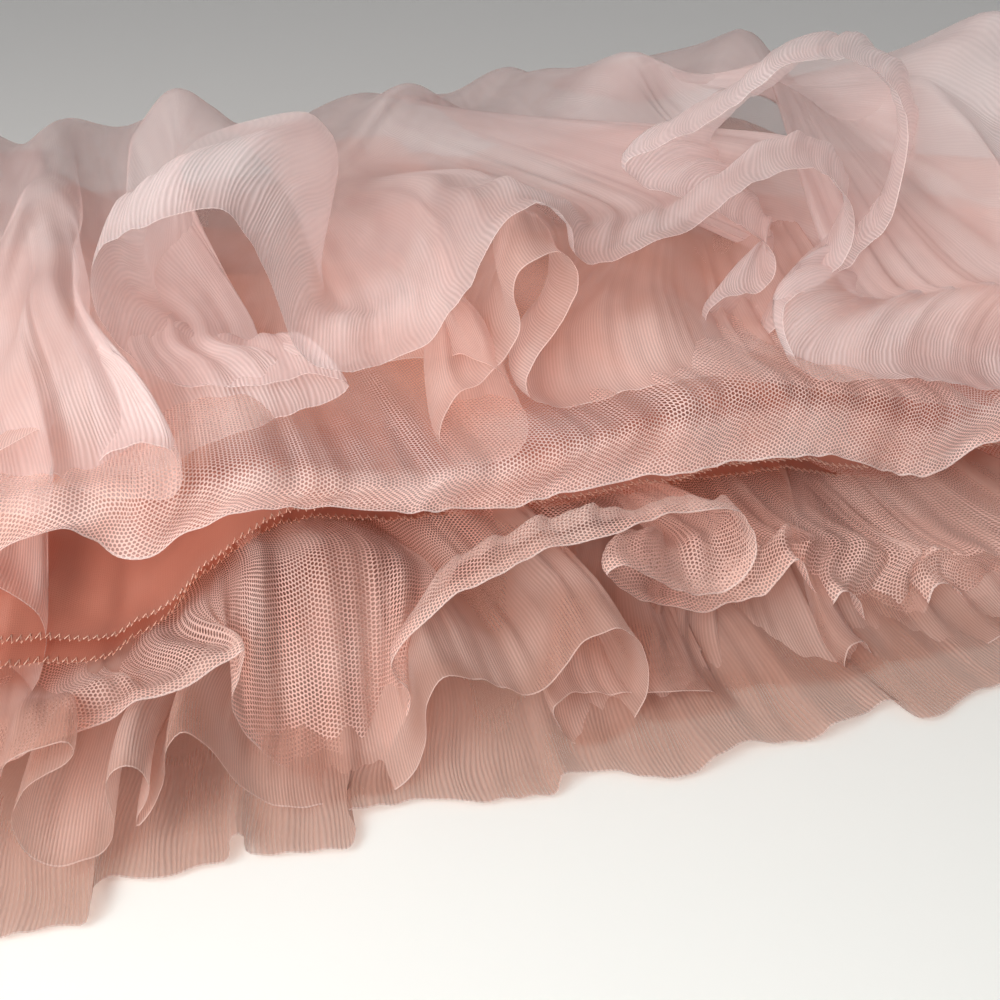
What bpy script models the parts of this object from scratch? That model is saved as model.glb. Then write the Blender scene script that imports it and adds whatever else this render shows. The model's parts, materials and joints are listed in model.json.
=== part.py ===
"""A child's tutu dress, laid on its back with the hem of its full skirt towards -Y.

The skirt has four layers. Each layer has a back panel and a front panel, and all eight panels
are gathered into one waistband. Every panel is a wall through one shared grid of places on the
pile, so a panel always lies on the one below it.
"""
import math

import bpy
import numpy as np

# Driving sizes, in metres
WAIST_WIDTH = 0.270
SKIRT_SWING = math.radians(54)
HEM_CURVE = 0.5
CORNER_ROUND = 0.09
CLOTH = 0.0010
SEAM = 0.0003
WAIST_PITCH = 0.0014
SIDE_PITCH = 0.0015
OPEN_GAP = 0.0042
GATHER_HEIGHT = 0.0014
GATHER_LENGTH = 0.100
CROWN = 0.125
HEM_TURN = 0.024
FULL_WAVES = 0.9

# Columns and rows of the shared grid, closer in the middle, and how the side seams nest
COLUMNS = 56
SIDE_EDGE = 0.955
SIDE_SHARE = 0.3
CLOSER = 0.3
SIDE_STEP = 0.016
UPPER_ROWS = (0.0, 0.045, 0.120, 0.200)
HEM_ROWS = (0.262, 0.283, 0.305, 0.330, 0.347, 0.362)

# Panels from the floor up: name, layer counted out from the lining, reach of the hem from
# the waist, height at the crown, height near the hem, drop of the hem itself, share of the
# reach that has no waves, colour
PANELS = (
    ("outer_back", 3, 0.362, 0.0005, 0.0005, 0.000, 0.75, (0.78, 0.62, 0.57)),
    ("second_back", 2, 0.347, 0.010, 0.010, 0.004, 0.10, (0.80, 0.62, 0.57)),
    ("net_back", 1, 0.330, 0.022, 0.026, 0.010, 0.05, (0.80, 0.60, 0.55)),
    ("lining_back", 0, 0.305, 0.036, 0.036, 0.010, 0.05, (0.93, 0.70, 0.58)),
    ("lining_front", 0, 0.305, 0.050, 0.048, 0.008, 0.05, (0.95, 0.74, 0.62)),
    ("net_front", 1, 0.305, 0.070, 0.066, 0.016, 0.05, (0.88, 0.68, 0.63)),
    ("second_front", 2, 0.283, 0.086, 0.070, 0.012, 0.05, (0.90, 0.72, 0.67)),
    ("outer_front", 3, 0.262, 0.110, 0.088, 0.014, 0.00, (0.92, 0.78, 0.76)),
)

# Ruffle waves of each panel: place along its hem, rise, width
WAVES = {
    "outer_back": (
        (-0.345, 0.007, 0.018), (-0.285, 0.007, 0.016), (-0.220, 0.008, 0.017),
        (-0.160, 0.008, 0.015), (-0.105, 0.009, 0.013), (-0.045, 0.008, 0.012),
        (0.000, 0.006, 0.014), (0.050, 0.008, 0.012), (0.095, 0.009, 0.013),
        (0.140, 0.007, 0.013), (0.200, 0.008, 0.015), (0.260, 0.007, 0.017),
        (0.325, 0.008, 0.018),
    ),
    "second_back": (
        (-0.320, 0.012, 0.020), (-0.255, 0.016, 0.020), (-0.195, 0.014, 0.018),
        (-0.145, 0.016, 0.015), (-0.100, 0.022, 0.016), (-0.058, 0.016, 0.014),
        (-0.020, 0.030, 0.015), (0.034, 0.034, 0.017), (0.070, 0.016, 0.012),
        (0.112, 0.014, 0.014), (0.160, 0.018, 0.016), (0.215, 0.015, 0.018),
        (0.275, 0.018, 0.020), (0.335, 0.016, 0.020),
    ),
    "net_back": (
        (-0.300, 0.014, 0.022), (-0.235, 0.018, 0.022), (-0.165, 0.014, 0.022),
        (-0.066, 0.014, 0.022), (-0.006, 0.030, 0.026), (0.062, 0.030, 0.026),
        (0.130, 0.014, 0.020), (0.190, 0.018, 0.022), (0.250, 0.014, 0.022),
        (0.310, 0.012, 0.022),
    ),
    "lining_back": (
        (-0.260, 0.010, 0.030), (-0.120, 0.010, 0.030), (0.000, 0.008, 0.034),
        (0.110, 0.008, 0.030), (0.210, 0.010, 0.032),
    ),
    "lining_front": (
        (-0.270, 0.010, 0.026), (-0.185, 0.010, 0.026), (-0.040, 0.010, 0.030),
        (0.060, 0.008, 0.028), (0.150, 0.006, 0.030), (0.240, 0.010, 0.028),
    ),
    "net_front": (
        (-0.300, 0.014, 0.024), (-0.225, 0.012, 0.024), (-0.150, 0.010, 0.022),
        (-0.062, 0.014, 0.028), (0.092, 0.010, 0.034), (0.180, 0.008, 0.024),
        (0.240, 0.012, 0.024), (0.300, 0.010, 0.022),
    ),
    "second_front": (
        (-0.300, 0.018, 0.024), (-0.240, 0.016, 0.020), (-0.185, 0.020, 0.020),
        (-0.120, 0.018, 0.020), (-0.060, 0.014, 0.018), (0.004, 0.012, 0.012),
        (0.044, 0.040, 0.019), (0.090, 0.018, 0.015), (0.150, 0.018, 0.020),
        (0.205, 0.020, 0.018), (0.262, 0.016, 0.020), (0.315, 0.014, 0.020),
    ),
    "outer_front": (
        (-0.270, 0.030, 0.028), (-0.212, 0.034, 0.026), (-0.156, 0.026, 0.022),
        (-0.102, 0.040, 0.018), (-0.050, 0.050, 0.027), (0.048, 0.036, 0.026),
        (0.130, 0.042, 0.028), (0.200, 0.050, 0.028), (0.262, 0.036, 0.026),
    ),
}

# Where the ruffles roll over: along the hem, distance from the waist, height, radius,
# reach towards the waist, turn in degrees (positive rolls to the left seen from the hem)
ROLLS = (
    (-0.056, 0.262, 0.108, 0.050, 0.055, 100),
    (0.118, 0.258, 0.094, 0.050, 0.055, -115),
    (-0.205, 0.270, 0.085, 0.042, 0.055, 80),
    (0.230, 0.270, 0.085, 0.042, 0.055, -60),
    (0.044, 0.290, 0.098, 0.028, 0.045, -75),
    (0.068, 0.335, 0.044, 0.030, 0.040, -85),
    (-0.100, 0.345, 0.027, 0.026, 0.040, -50),
    (-0.024, 0.347, 0.030, 0.029, 0.035, -65),
    (0.160, 0.340, 0.030, 0.028, 0.040, -75),
)

# Where the pile has slid towards the hem: along the hem, distance from the waist, width,
# length, slide
SLIDES = (
    (-0.105, 0.275, 0.045, 0.050, 0.022),
    (0.010, 0.270, 0.040, 0.050, -0.008),
    (0.175, 0.255, 0.050, 0.055, -0.022),
    (0.290, 0.290, 0.050, 0.055, 0.014),
    (-0.230, 0.270, 0.050, 0.055, -0.014),
)

# Where the pile swells up: along the hem, distance from the waist, width, length, share
SWELLS = (
    (0.270, 0.190, 0.085, 0.110, 0.26),
    (-0.250, 0.200, 0.080, 0.110, 0.12),
)

# Bodice and straps
BODICE_COLUMNS = 16
BODICE_ROWS = (0.0, 0.14, 0.25, 0.45, 0.65, 0.82, 1.0)
BODICE_HALF_WIDTHS = (0.137, 0.136, 0.138, 0.146, 0.152, 0.138, 0.112)
NECK_DEPTH = 0.165
STRAP_TOP = 0.212
STRAP_SPOT = 0.75
STRAP_FLAT = 0.125
STRAP_SPREAD = 0.2
BODICE_CROWN = 0.006
BAND_REACH = (SEAM, 0.025)
BAND_HALF_WIDTH = 0.1405
STRAP_WIDTH = 0.024

# Path of a strap from the front panel over its fold to the back panel: from the waist, height
STRAP_PATH = (
    (STRAP_TOP + 2 * SEAM, 0.0018), (0.235, 0.0023), (0.248, 0.0036), (0.2535, 0.0037),
    (0.2550, 0.0021), (0.2535, 0.0005), (0.242, 0.0005), (STRAP_TOP + 2 * SEAM, 0.0005),
)

BODICE_COLOUR = (0.90, 0.74, 0.70)
BAND_COLOUR = (0.88, 0.71, 0.68)


def ease(amount):
    """0 to 1 with a soft start and end."""
    amount = np.clip(amount, 0.0, 1.0)
    return amount * amount * (3 - 2 * amount)


def upper_of(first, second, softness):
    """The higher of two surfaces, with a rounded change from one to the other."""
    return 0.5 * (first + second + np.sqrt((first - second) ** 2 + softness ** 2))


def fullness(side):
    """1 over most of the skirt, 0 along its side seams."""
    return 1 - np.clip(np.abs(side) / SIDE_EDGE, 0, 1) ** 6


def on_plan(side, down):
    """Across and along the floor: the skirt fans out from the waist, and has slid in places."""
    swing = side * SKIRT_SWING
    across = side * WAIST_WIDTH / 2 + np.sin(swing) * down
    slid = down * (1 - CORNER_ROUND * side ** 6)
    for along, spot, width, length, slide in SLIDES:
        slid = slid + slide * np.exp(-((across - along) / width) ** 2 - ((down - spot) / length) ** 2)
    across = across - np.sign(side) * CORNER_ROUND * side ** 8 * down
    return across, -np.cos(swing) ** HEM_CURVE * slid


def waist_height(index):
    """Middle of a gathered panel's wall at the waist, level with the bodice's own walls."""
    return CLOTH / 2 + CLOTH + SEAM + index * WAIST_PITCH


def side_height(index, layer, side):
    """The panels nest at the side seams, where each back panel meets its front panel."""
    steps = np.round(np.clip(np.abs(side) - 1, 0, None) / SIDE_STEP)
    middle = CLOTH / 2 + (CLOTH + SEAM) / 2 + 3 * SIDE_PITCH
    away = (CLOTH + SEAM) / 2 + np.clip(layer - steps, 0, None) * SIDE_PITCH
    return middle + np.where(index < len(PANELS) / 2, -away, away)


def wished_height(index, side, down):
    """Where a panel would lie by itself: its crown, its fall to the hem, and its waves."""
    name, layer, reach, crown, hem, drop, calm = PANELS[index][:7]
    rise = waist_height(index) + (crown - waist_height(index)) * ease(down / CROWN)
    fall = (hem - crown) * ease((down - CROWN) / (reach - CROWN))
    fall = fall - drop * ease((down - reach) / HEM_TURN + 1)
    waves = 0.0
    for along, height, width in WAVES[name]:
        waves = waves + height * np.exp(-((on_plan(side, reach)[0] - along) / width) ** 2)
    waves = waves * ease((down / reach - calm) / (FULL_WAVES - calm))
    edge = side_height(index, layer, side)
    return edge + (rise + fall + waves - edge) * fullness(side)


def slope_of(height, across, along):
    """How much longer a surface is than its plan, so that gaps are kept square to it."""
    height_i, across_i, along_i = (np.gradient(values, axis=0) for values in (height, across, along))
    height_j, across_j, along_j = (np.gradient(values, axis=1) for values in (height, across, along))
    plan = across_i * along_j - across_j * along_i
    to_x = (height_i * along_j - height_j * along_i) / plan
    to_y = (height_j * across_i - height_i * across_j) / plan
    return np.sqrt(1 + to_x ** 2 + to_y ** 2)


def pile(place, down):
    """Places of all panels on one grid, each panel at least a gap above the one below it."""
    inside = np.clip(place, -1, 1)
    side = place - CLOSER * np.sin(math.pi * inside) / math.pi
    side, down = np.meshgrid(side, down, indexing="ij")
    across, along = on_plan(side, down)
    opened = ease(down / CROWN) * (SIDE_SHARE + (1 - SIDE_SHARE) * fullness(side))
    gap = WAIST_PITCH + (OPEN_GAP - WAIST_PITCH) * opened
    gather = 0.5 * (1 - np.cos(math.pi * COLUMNS / 2 * (inside + 1)))[:, None] * fullness(side)
    gather = GATHER_HEIGHT * gather * (1 - ease(down / GATHER_LENGTH))
    panels = []
    lower = None
    for index, panel in enumerate(PANELS):
        height = wished_height(index, side, down)
        if lower is not None:
            apart = np.minimum(gap * slope_of(lower, across, along), 3 * gap)
            apart = np.where(np.abs(side) > 1 - 1e-6, CLOTH + SEAM, apart)
            softness = 0.5 * np.clip(gap - WAIST_PITCH, 0, None)
            height = upper_of(height, lower + apart, softness)
        here = np.abs(side) <= 1 + (panel[1] + 0.5) * SIDE_STEP
        lower = height if lower is None else np.where(here, height, lower)
        height = height + gather + (height - CLOTH / 2) * swell_at(across, down)
        panels.append(roll_over(np.stack((across, along, height), axis=-1)))
    return panels


def swell_at(across, down):
    """Share by which the pile stands higher at each place."""
    share = 0.0
    for along, spot, width, length, most in SWELLS:
        share = share + most * np.exp(-((across - along) / width) ** 2 - ((down - spot) / length) ** 2)
    return share


def roll_over(points):
    """Turn the points round each roll's axis, fully at the middle and not at all at its rim."""
    points = points.copy()
    for along, down, height, radius, reach, turn in ROLLS:
        across = points[..., 0] - along
        above = points[..., 2] - height
        near = np.clip(1 - (across ** 2 + above ** 2) / radius ** 2, 0, 1) ** 2
        near = near * np.exp(-((points[..., 1] + down) / reach) ** 2)
        angle = math.radians(turn) * near
        points[..., 0] = along + across * np.cos(angle) - above * np.sin(angle)
        points[..., 2] = height + across * np.sin(angle) + above * np.cos(angle)
    return points


def skirt_panels():
    """Middle surfaces of the eight walls, each cut from the shared grid at its own hem."""
    most = max(panel[1] for panel in PANELS)
    nested = 1 + SIDE_STEP * np.arange(1, most + 1)
    place = np.concatenate((-nested[::-1], np.linspace(-1, 1, COLUMNS + 1), nested))
    down = np.array(UPPER_ROWS + HEM_ROWS)
    panels = []
    for panel, points in zip(PANELS, pile(place, down)):
        ends = most - panel[1]
        kept = np.count_nonzero(down <= panel[2] + 1e-9)
        panels.append(points[ends:len(place) - ends, :kept])
    return panels


def outward(points):
    """Unit normals of a grid of points."""
    normal = np.cross(np.gradient(points, axis=0), np.gradient(points, axis=1))
    return normal / np.linalg.norm(normal, axis=-1, keepdims=True)


def wall(name, points, colour):
    """A closed wall of cloth with the given middle surface."""
    rows, columns = points.shape[:2]
    half = outward(points) * CLOTH / 2
    corners = np.concatenate(((points + half).reshape(-1, 3), (points - half).reshape(-1, 3)))
    spot = np.arange(rows * columns).reshape(rows, columns)
    under = rows * columns
    faces = []
    for i in range(rows - 1):
        for j in range(columns - 1):
            a, b, c, d = spot[i, j], spot[i + 1, j], spot[i + 1, j + 1], spot[i, j + 1]
            faces += [(a, b, c), (a, c, d), (under + a, under + c, under + b)]
            faces.append((under + a, under + d, under + c))
    rim = [*spot[:, 0], *spot[-1, 1:], *spot[-2::-1, -1], *spot[0, -2:0:-1]]
    for a, b in zip(rim, rim[1:] + rim[:1]):
        faces += [(b, a, under + a), (b, under + a, under + b)]
    return solid(name, corners, faces, colour)


def solid(name, corners, faces, colour):
    """One named object with its own material, its faces turned outwards."""
    mesh = bpy.data.meshes.new(name)
    mesh.from_pydata([tuple(corner) for corner in corners], [], [tuple(face) for face in faces])
    a, b, c = (corners[[face[k] for face in faces]] for k in range(3))
    if np.sum(a * np.cross(b, c)) < 0:
        mesh.flip_normals()
    mesh.shade_smooth()
    mesh.set_sharp_from_angle(angle=math.radians(60))
    material = bpy.data.materials.new(name + "_cloth")
    material.use_nodes = True
    shader = material.node_tree.nodes["Principled BSDF"]
    shader.inputs["Base Color"].default_value = (*colour, 1)
    shader.inputs["Roughness"].default_value = 0.8
    shader.inputs["Metallic"].default_value = 0.0
    mesh.materials.append(material)
    thing = bpy.data.objects.new(name, mesh)
    bpy.context.collection.objects.link(thing)
    return thing


def bodice_points(front):
    """One flat bodice panel: straight at the waist, scooped at the neck."""
    side = np.linspace(-1, 1, BODICE_COLUMNS + 1)
    lift = ease(1 + (STRAP_FLAT - np.abs(np.abs(side) - STRAP_SPOT)) / STRAP_SPREAD)
    top = NECK_DEPTH + (STRAP_TOP - NECK_DEPTH) * lift
    across = np.outer(side, BODICE_HALF_WIDTHS)
    up = SEAM + np.outer(top, BODICE_ROWS)
    near_waist = 1 - ease((up - BAND_REACH[1] - SEAM) / BAND_REACH[1])
    height = CLOTH / 2 + near_waist * (waist_height(0) - CLOTH / 2)
    if front:
        free = np.clip((up - BAND_REACH[1]) / (top[:, None] - BAND_REACH[1]), 0, 1)
        crown = BODICE_CROWN * fullness(side)[:, None] * np.sin(math.pi * free)
        opened = waist_height(len(PANELS) - 1) - waist_height(0) - CLOTH - SEAM
        height = height + CLOTH + SEAM + crown + near_waist * opened
    return np.stack((across, up, height), axis=-1)


def band_points(front):
    """Half of the waistband: over or under the gathers, turned at its ends to meet the other."""
    top = waist_height(len(PANELS) - 1) + GATHER_HEIGHT + CLOTH + SEAM
    middle = (CLOTH / 2 + top) / 2
    level = top if front else CLOTH / 2
    meet = middle + (CLOTH + SEAM) / 2 * (1 if front else -1)
    corner = BAND_HALF_WIDTH - 0.003
    flat = np.linspace(-corner, corner, 19)
    ends = np.array((BAND_HALF_WIDTH - 0.0006, BAND_HALF_WIDTH))
    lip = np.array((level + (middle - level) * 0.35, meet))
    across = np.concatenate((-ends[::-1], flat, ends))
    height = np.concatenate((lip[::-1], np.full(len(flat), level), lip))
    up = np.linspace(*BAND_REACH, 3)
    across, up = np.meshgrid(across, up, indexing="ij")
    return np.stack((across, up, np.repeat(height[:, None], 3, axis=1)), axis=-1)


def strap_points(side):
    """A ribbon from the front panel's top edge, folded at the shoulder, to the back panel's."""
    middle = side * STRAP_SPOT * BODICE_HALF_WIDTHS[-1]
    across = middle + np.linspace(-STRAP_WIDTH / 2, STRAP_WIDTH / 2, 3)
    path = np.array(STRAP_PATH)
    shape = (len(path), len(across))
    up, height = (np.broadcast_to(path[:, k, None], shape) for k in range(2))
    return np.stack((np.broadcast_to(across, shape), up, height), axis=-1)


def centre(things):
    """Put the origin on the floor under the middle of the whole dress."""
    corners = np.array([corner.co for thing in things for corner in thing.data.vertices])
    middle = (corners.min(axis=0) + corners.max(axis=0)) / 2
    for thing in things:
        thing.location = (-middle[0], -middle[1], 0)


def main():
    for thing in list(bpy.data.objects):
        bpy.data.objects.remove(thing, do_unlink=True)
    pieces = []
    for panel, points in zip(PANELS, skirt_panels()):
        pieces.append(wall(panel[0], points, panel[7]))
    for name, front in (("back", False), ("front", True)):
        pieces.append(wall("bodice_" + name, bodice_points(front), BODICE_COLOUR))
        pieces.append(wall("waistband_" + name, band_points(front), BAND_COLOUR))
    for name, side in (("left", 1), ("right", -1)):
        pieces.append(wall("strap_" + name, strap_points(side), BODICE_COLOUR))
    centre(pieces)


main()
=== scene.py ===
# %% [markdown]
# # A child's tutu dress, laid on its back
# The dress lies flat, with the hem of its full skirt towards the camera. Nearly all that shows is
# thin cloth that lets light through: crinkled tulle outside, finer tulle and an open net below it,
# and a peach lining inside. So this lesson is about sheets. It says where each one lies, how its
# hem waves and rolls over, and how much light it lets by.

# %% Load the frame
import json
import math

import bpy
import numpy as np
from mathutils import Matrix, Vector

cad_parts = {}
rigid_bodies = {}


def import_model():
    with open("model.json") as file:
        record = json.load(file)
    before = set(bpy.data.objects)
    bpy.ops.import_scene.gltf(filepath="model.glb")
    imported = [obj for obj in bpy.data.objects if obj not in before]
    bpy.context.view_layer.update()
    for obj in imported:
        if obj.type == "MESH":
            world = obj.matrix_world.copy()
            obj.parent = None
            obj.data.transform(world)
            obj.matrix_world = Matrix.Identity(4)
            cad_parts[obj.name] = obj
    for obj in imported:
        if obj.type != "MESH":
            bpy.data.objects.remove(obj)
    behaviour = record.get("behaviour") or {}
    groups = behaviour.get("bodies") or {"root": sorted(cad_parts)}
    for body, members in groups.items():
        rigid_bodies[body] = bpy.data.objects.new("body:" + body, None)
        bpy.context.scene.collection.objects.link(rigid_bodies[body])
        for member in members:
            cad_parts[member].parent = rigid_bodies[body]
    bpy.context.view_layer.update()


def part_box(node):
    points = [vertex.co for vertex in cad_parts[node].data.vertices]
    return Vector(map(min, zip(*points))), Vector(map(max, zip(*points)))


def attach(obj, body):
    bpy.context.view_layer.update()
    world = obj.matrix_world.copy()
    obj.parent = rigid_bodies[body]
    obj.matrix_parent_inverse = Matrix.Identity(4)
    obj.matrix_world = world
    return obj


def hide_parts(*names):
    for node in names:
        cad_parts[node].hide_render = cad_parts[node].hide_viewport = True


for thing in list(bpy.data.objects):
    bpy.data.objects.remove(thing, do_unlink=True)
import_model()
SEAM = 0.0003
band_low, band_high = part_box("waistband_front")
waist = Vector(((band_low.x + band_high.x) / 2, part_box("bodice_back")[0].y - SEAM, 0))

# %% [markdown]
# ## The camera
# The photograph looks down at the ruffled hem from close by, a little from the left. A short
# distance and a normal lens make the near ruffles large and let the skirt run out of the picture
# on both sides. The target is measured from the middle of the waist seam, so it follows the dress.

# %% Camera
VIEW_TURN = math.radians(-20)
VIEW_RISE = math.radians(31)
VIEW_DISTANCE = 0.390
VIEW_LENS = 50
VIEW_TARGET = Vector((0.020, -0.300, 0.052))

view_back = Vector((
    math.sin(VIEW_TURN) * math.cos(VIEW_RISE),
    -math.cos(VIEW_TURN) * math.cos(VIEW_RISE),
    math.sin(VIEW_RISE),
))
bpy.ops.object.camera_add(location=waist + VIEW_TARGET + view_back * VIEW_DISTANCE)
camera = bpy.context.object
camera.rotation_euler = view_back.to_track_quat("Z", "Y").to_euler()
camera.data.lens = VIEW_LENS
camera.data.clip_start = 0.01
bpy.context.scene.camera = camera
print("camera at", [round(value, 3) for value in camera.location])

# %% [markdown]
# ## Light and floor
# Tulle looks soft when light reaches it from many sides. So two large lamps stand at the front
# left, one higher than the other, and an even sky fills the folds. The floor is plain and pale.
# It is white before the hem. Behind the dress its colour turns to a quiet grey, which is painted
# shade for the light falling off there, made as a ramp along Y in the floor's own material. Light
# has to pass many sheets in a row, so the paths through clear surfaces are allowed to be long.

# %% Lamps and sky
CLEAR_STEPS = 14
LIGHT_STEPS = 4
DIFFUSE_STEPS = 3
NOISE_LEFT = 0.1
LEAST_SAMPLES = 12
SKY_STRENGTH = 0.34
SKY_COLOUR = (0.96, 0.98, 1.0, 1)
LAMPS = (
    ("key", (-0.62, -0.36, 0.58), 0.50, 5.2, (1.0, 0.985, 0.96)),
    ("front", (-0.52, -0.64, 0.42), 0.60, 4.9, (1.0, 0.985, 0.97)),
)


def add_lamp(name, place, size, power, colour):
    """A square soft lamp that looks at the camera's target."""
    target = waist + VIEW_TARGET
    bpy.ops.object.light_add(type="AREA", location=target + Vector(place))
    lamp = bpy.context.object
    lamp.name = name + "_lamp"
    lamp.data.energy = power
    lamp.data.size = size
    lamp.data.color = colour
    lamp.rotation_euler = Vector(place).to_track_quat("Z", "Y").to_euler()
    return lamp


for lamp_row in LAMPS:
    add_lamp(*lamp_row)
sky = bpy.data.worlds.new("studio_sky")
sky.use_nodes = True
sky.node_tree.nodes["Background"].inputs["Color"].default_value = SKY_COLOUR
sky.node_tree.nodes["Background"].inputs["Strength"].default_value = SKY_STRENGTH
bpy.context.scene.world = sky
bpy.context.scene.cycles.transparent_max_bounces = CLEAR_STEPS
bpy.context.scene.cycles.max_bounces = LIGHT_STEPS
bpy.context.scene.cycles.diffuse_bounces = DIFFUSE_STEPS
bpy.context.scene.cycles.adaptive_threshold = NOISE_LEFT
bpy.context.scene.cycles.adaptive_min_samples = LEAST_SAMPLES
bpy.context.scene.view_settings.view_transform = "Standard"
print("lamps", [row[0] for row in LAMPS])

# %% Small helpers for shader nodes
def new_material(name):
    """A material with its node tree, its Principled shader and its output."""
    material = bpy.data.materials.new(name)
    material.use_nodes = True
    tree = material.node_tree
    return material, tree, tree.nodes["Principled BSDF"], tree.nodes["Material Output"]


def add_node(tree, kind, values=None, **settings):
    """A node of that kind, with its settings and the values of its inputs."""
    node = tree.nodes.new(kind)
    for setting, value in settings.items():
        setattr(node, setting, value)
    for key, value in (values or {}).items():
        node.inputs[key].default_value = value
    return node


def set_inputs(shader, values):
    """Give a shader's inputs their values, by name."""
    for key, value in values.items():
        shader.inputs[key].default_value = value


def math_node(tree, operation, first, second=None, third=None):
    """A Math node fed by sockets or numbers; returns its output."""
    node = tree.nodes.new("ShaderNodeMath")
    node.operation = operation
    for socket, value in zip(node.inputs, (first, second, third)):
        if isinstance(value, bpy.types.NodeSocket):
            tree.links.new(value, socket)
        elif value is not None:
            socket.default_value = value
    return node.outputs[0]


def ramp_between(tree, value, low, high, start=0.0, end=1.0):
    """A soft step: start where value is low, end where it is high."""
    node = add_node(tree, "ShaderNodeMapRange", {1: low, 2: high, 3: start, 4: end},
        interpolation_type="SMOOTHSTEP")
    tree.links.new(value, node.inputs[0])
    return node.outputs[0]


def mix_colours(tree, share, first, second):
    """A colour mix whose share is a socket or a number; colours are sockets or tuples."""
    node = tree.nodes.new("ShaderNodeMix")
    node.data_type = "RGBA"
    for socket, value in zip((node.inputs[0], node.inputs[6], node.inputs[7]), (share, first, second)):
        if isinstance(value, bpy.types.NodeSocket):
            tree.links.new(value, socket)
        else:
            socket.default_value = (*value, 1) if isinstance(value, tuple) else value
    return node.outputs[2]


# %% Floor
FLOOR_SIZE = 6.0
FLOOR_HEIGHT = -0.0004
FLOOR_ROUGHNESS = 0.6
FLOOR_NEAR = (0.93, 0.935, 0.90)
FLOOR_FAR_SHADE = (0.88, 0.85, 0.82)
FLOOR_SHADE_RAMP = (-0.22, 0.16)

bpy.ops.mesh.primitive_plane_add(size=FLOOR_SIZE, location=(0, 0, FLOOR_HEIGHT))
floor = bpy.context.object
floor.name = "floor"
floor_material, tree, shader, output = new_material("pale_floor")
place = add_node(tree, "ShaderNodeTexCoord").outputs["Object"]
parts = add_node(tree, "ShaderNodeSeparateXYZ")
tree.links.new(place, parts.inputs[0])
# The grey behind the dress is painted shade, where the lamps' light falls off.
far = ramp_between(tree, parts.outputs["Y"], *FLOOR_SHADE_RAMP)
tree.links.new(mix_colours(tree, far, FLOOR_NEAR, FLOOR_FAR_SHADE), shader.inputs["Base Color"])
shader.inputs["Roughness"].default_value = FLOOR_ROUGHNESS
floor.data.materials.append(floor_material)
print("floor ramp along Y", FLOOR_SHADE_RAMP)

# %% [markdown]
# ## Where the skirt's sheets lie
# A gathered skirt fans out from its waist, and when it is laid down its layers pile up. Cloth
# simulation of eight wide sheets would be slow and would not keep the folds where they are seen.
# So the pile is worked out: every sheet is a height over one shared plan, and it lies at least a
# gap above the sheet below it. Two sheets can then never cut through each other. Afterwards the
# whole space is turned round a few axes, which rolls the ruffles over, and it leans from side to
# side. Such a turn moves all the sheets alike, so they still don't meet. Only the tucks on the
# two top sheets, and the hems that are laid later, are made for one sheet at a time.

# %% Sizes of the pile
WAIST_WIDTH = 0.270
SKIRT_SWING = math.radians(54)
HEM_CURVE = 0.5
CORNER_ROUND = 0.09
CLOTH = 0.0010
WAIST_PITCH = 0.0014
SIDE_PITCH = 0.0015
OPEN_GAP = 0.0042
CROWN = 0.125
HEM_TURN = 0.024
FULL_WAVES = 0.9
SIDE_EDGE = 0.955
SIDE_SHARE = 0.3
CLOSER = 0.3
SIDE_STEP = 0.016

# Panels from the floor up: name, layer counted out from the lining, reach of the hem from the
# waist, height at the crown, height near the hem, drop of the hem itself, share of the reach
# that has no waves
PANELS = (
    ("outer_back", 3, 0.362, 0.0005, 0.0005, 0.000, 0.75),
    ("second_back", 2, 0.347, 0.010, 0.010, 0.004, 0.10),
    ("net_back", 1, 0.330, 0.022, 0.026, 0.010, 0.05),
    ("lining_back", 0, 0.305, 0.036, 0.036, 0.010, 0.05),
    ("lining_front", 0, 0.305, 0.050, 0.048, 0.008, 0.05),
    ("net_front", 1, 0.305, 0.070, 0.066, 0.016, 0.05),
    ("second_front", 2, 0.283, 0.086, 0.070, 0.012, 0.05),
    ("outer_front", 3, 0.262, 0.110, 0.088, 0.014, 0.30),
)

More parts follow.
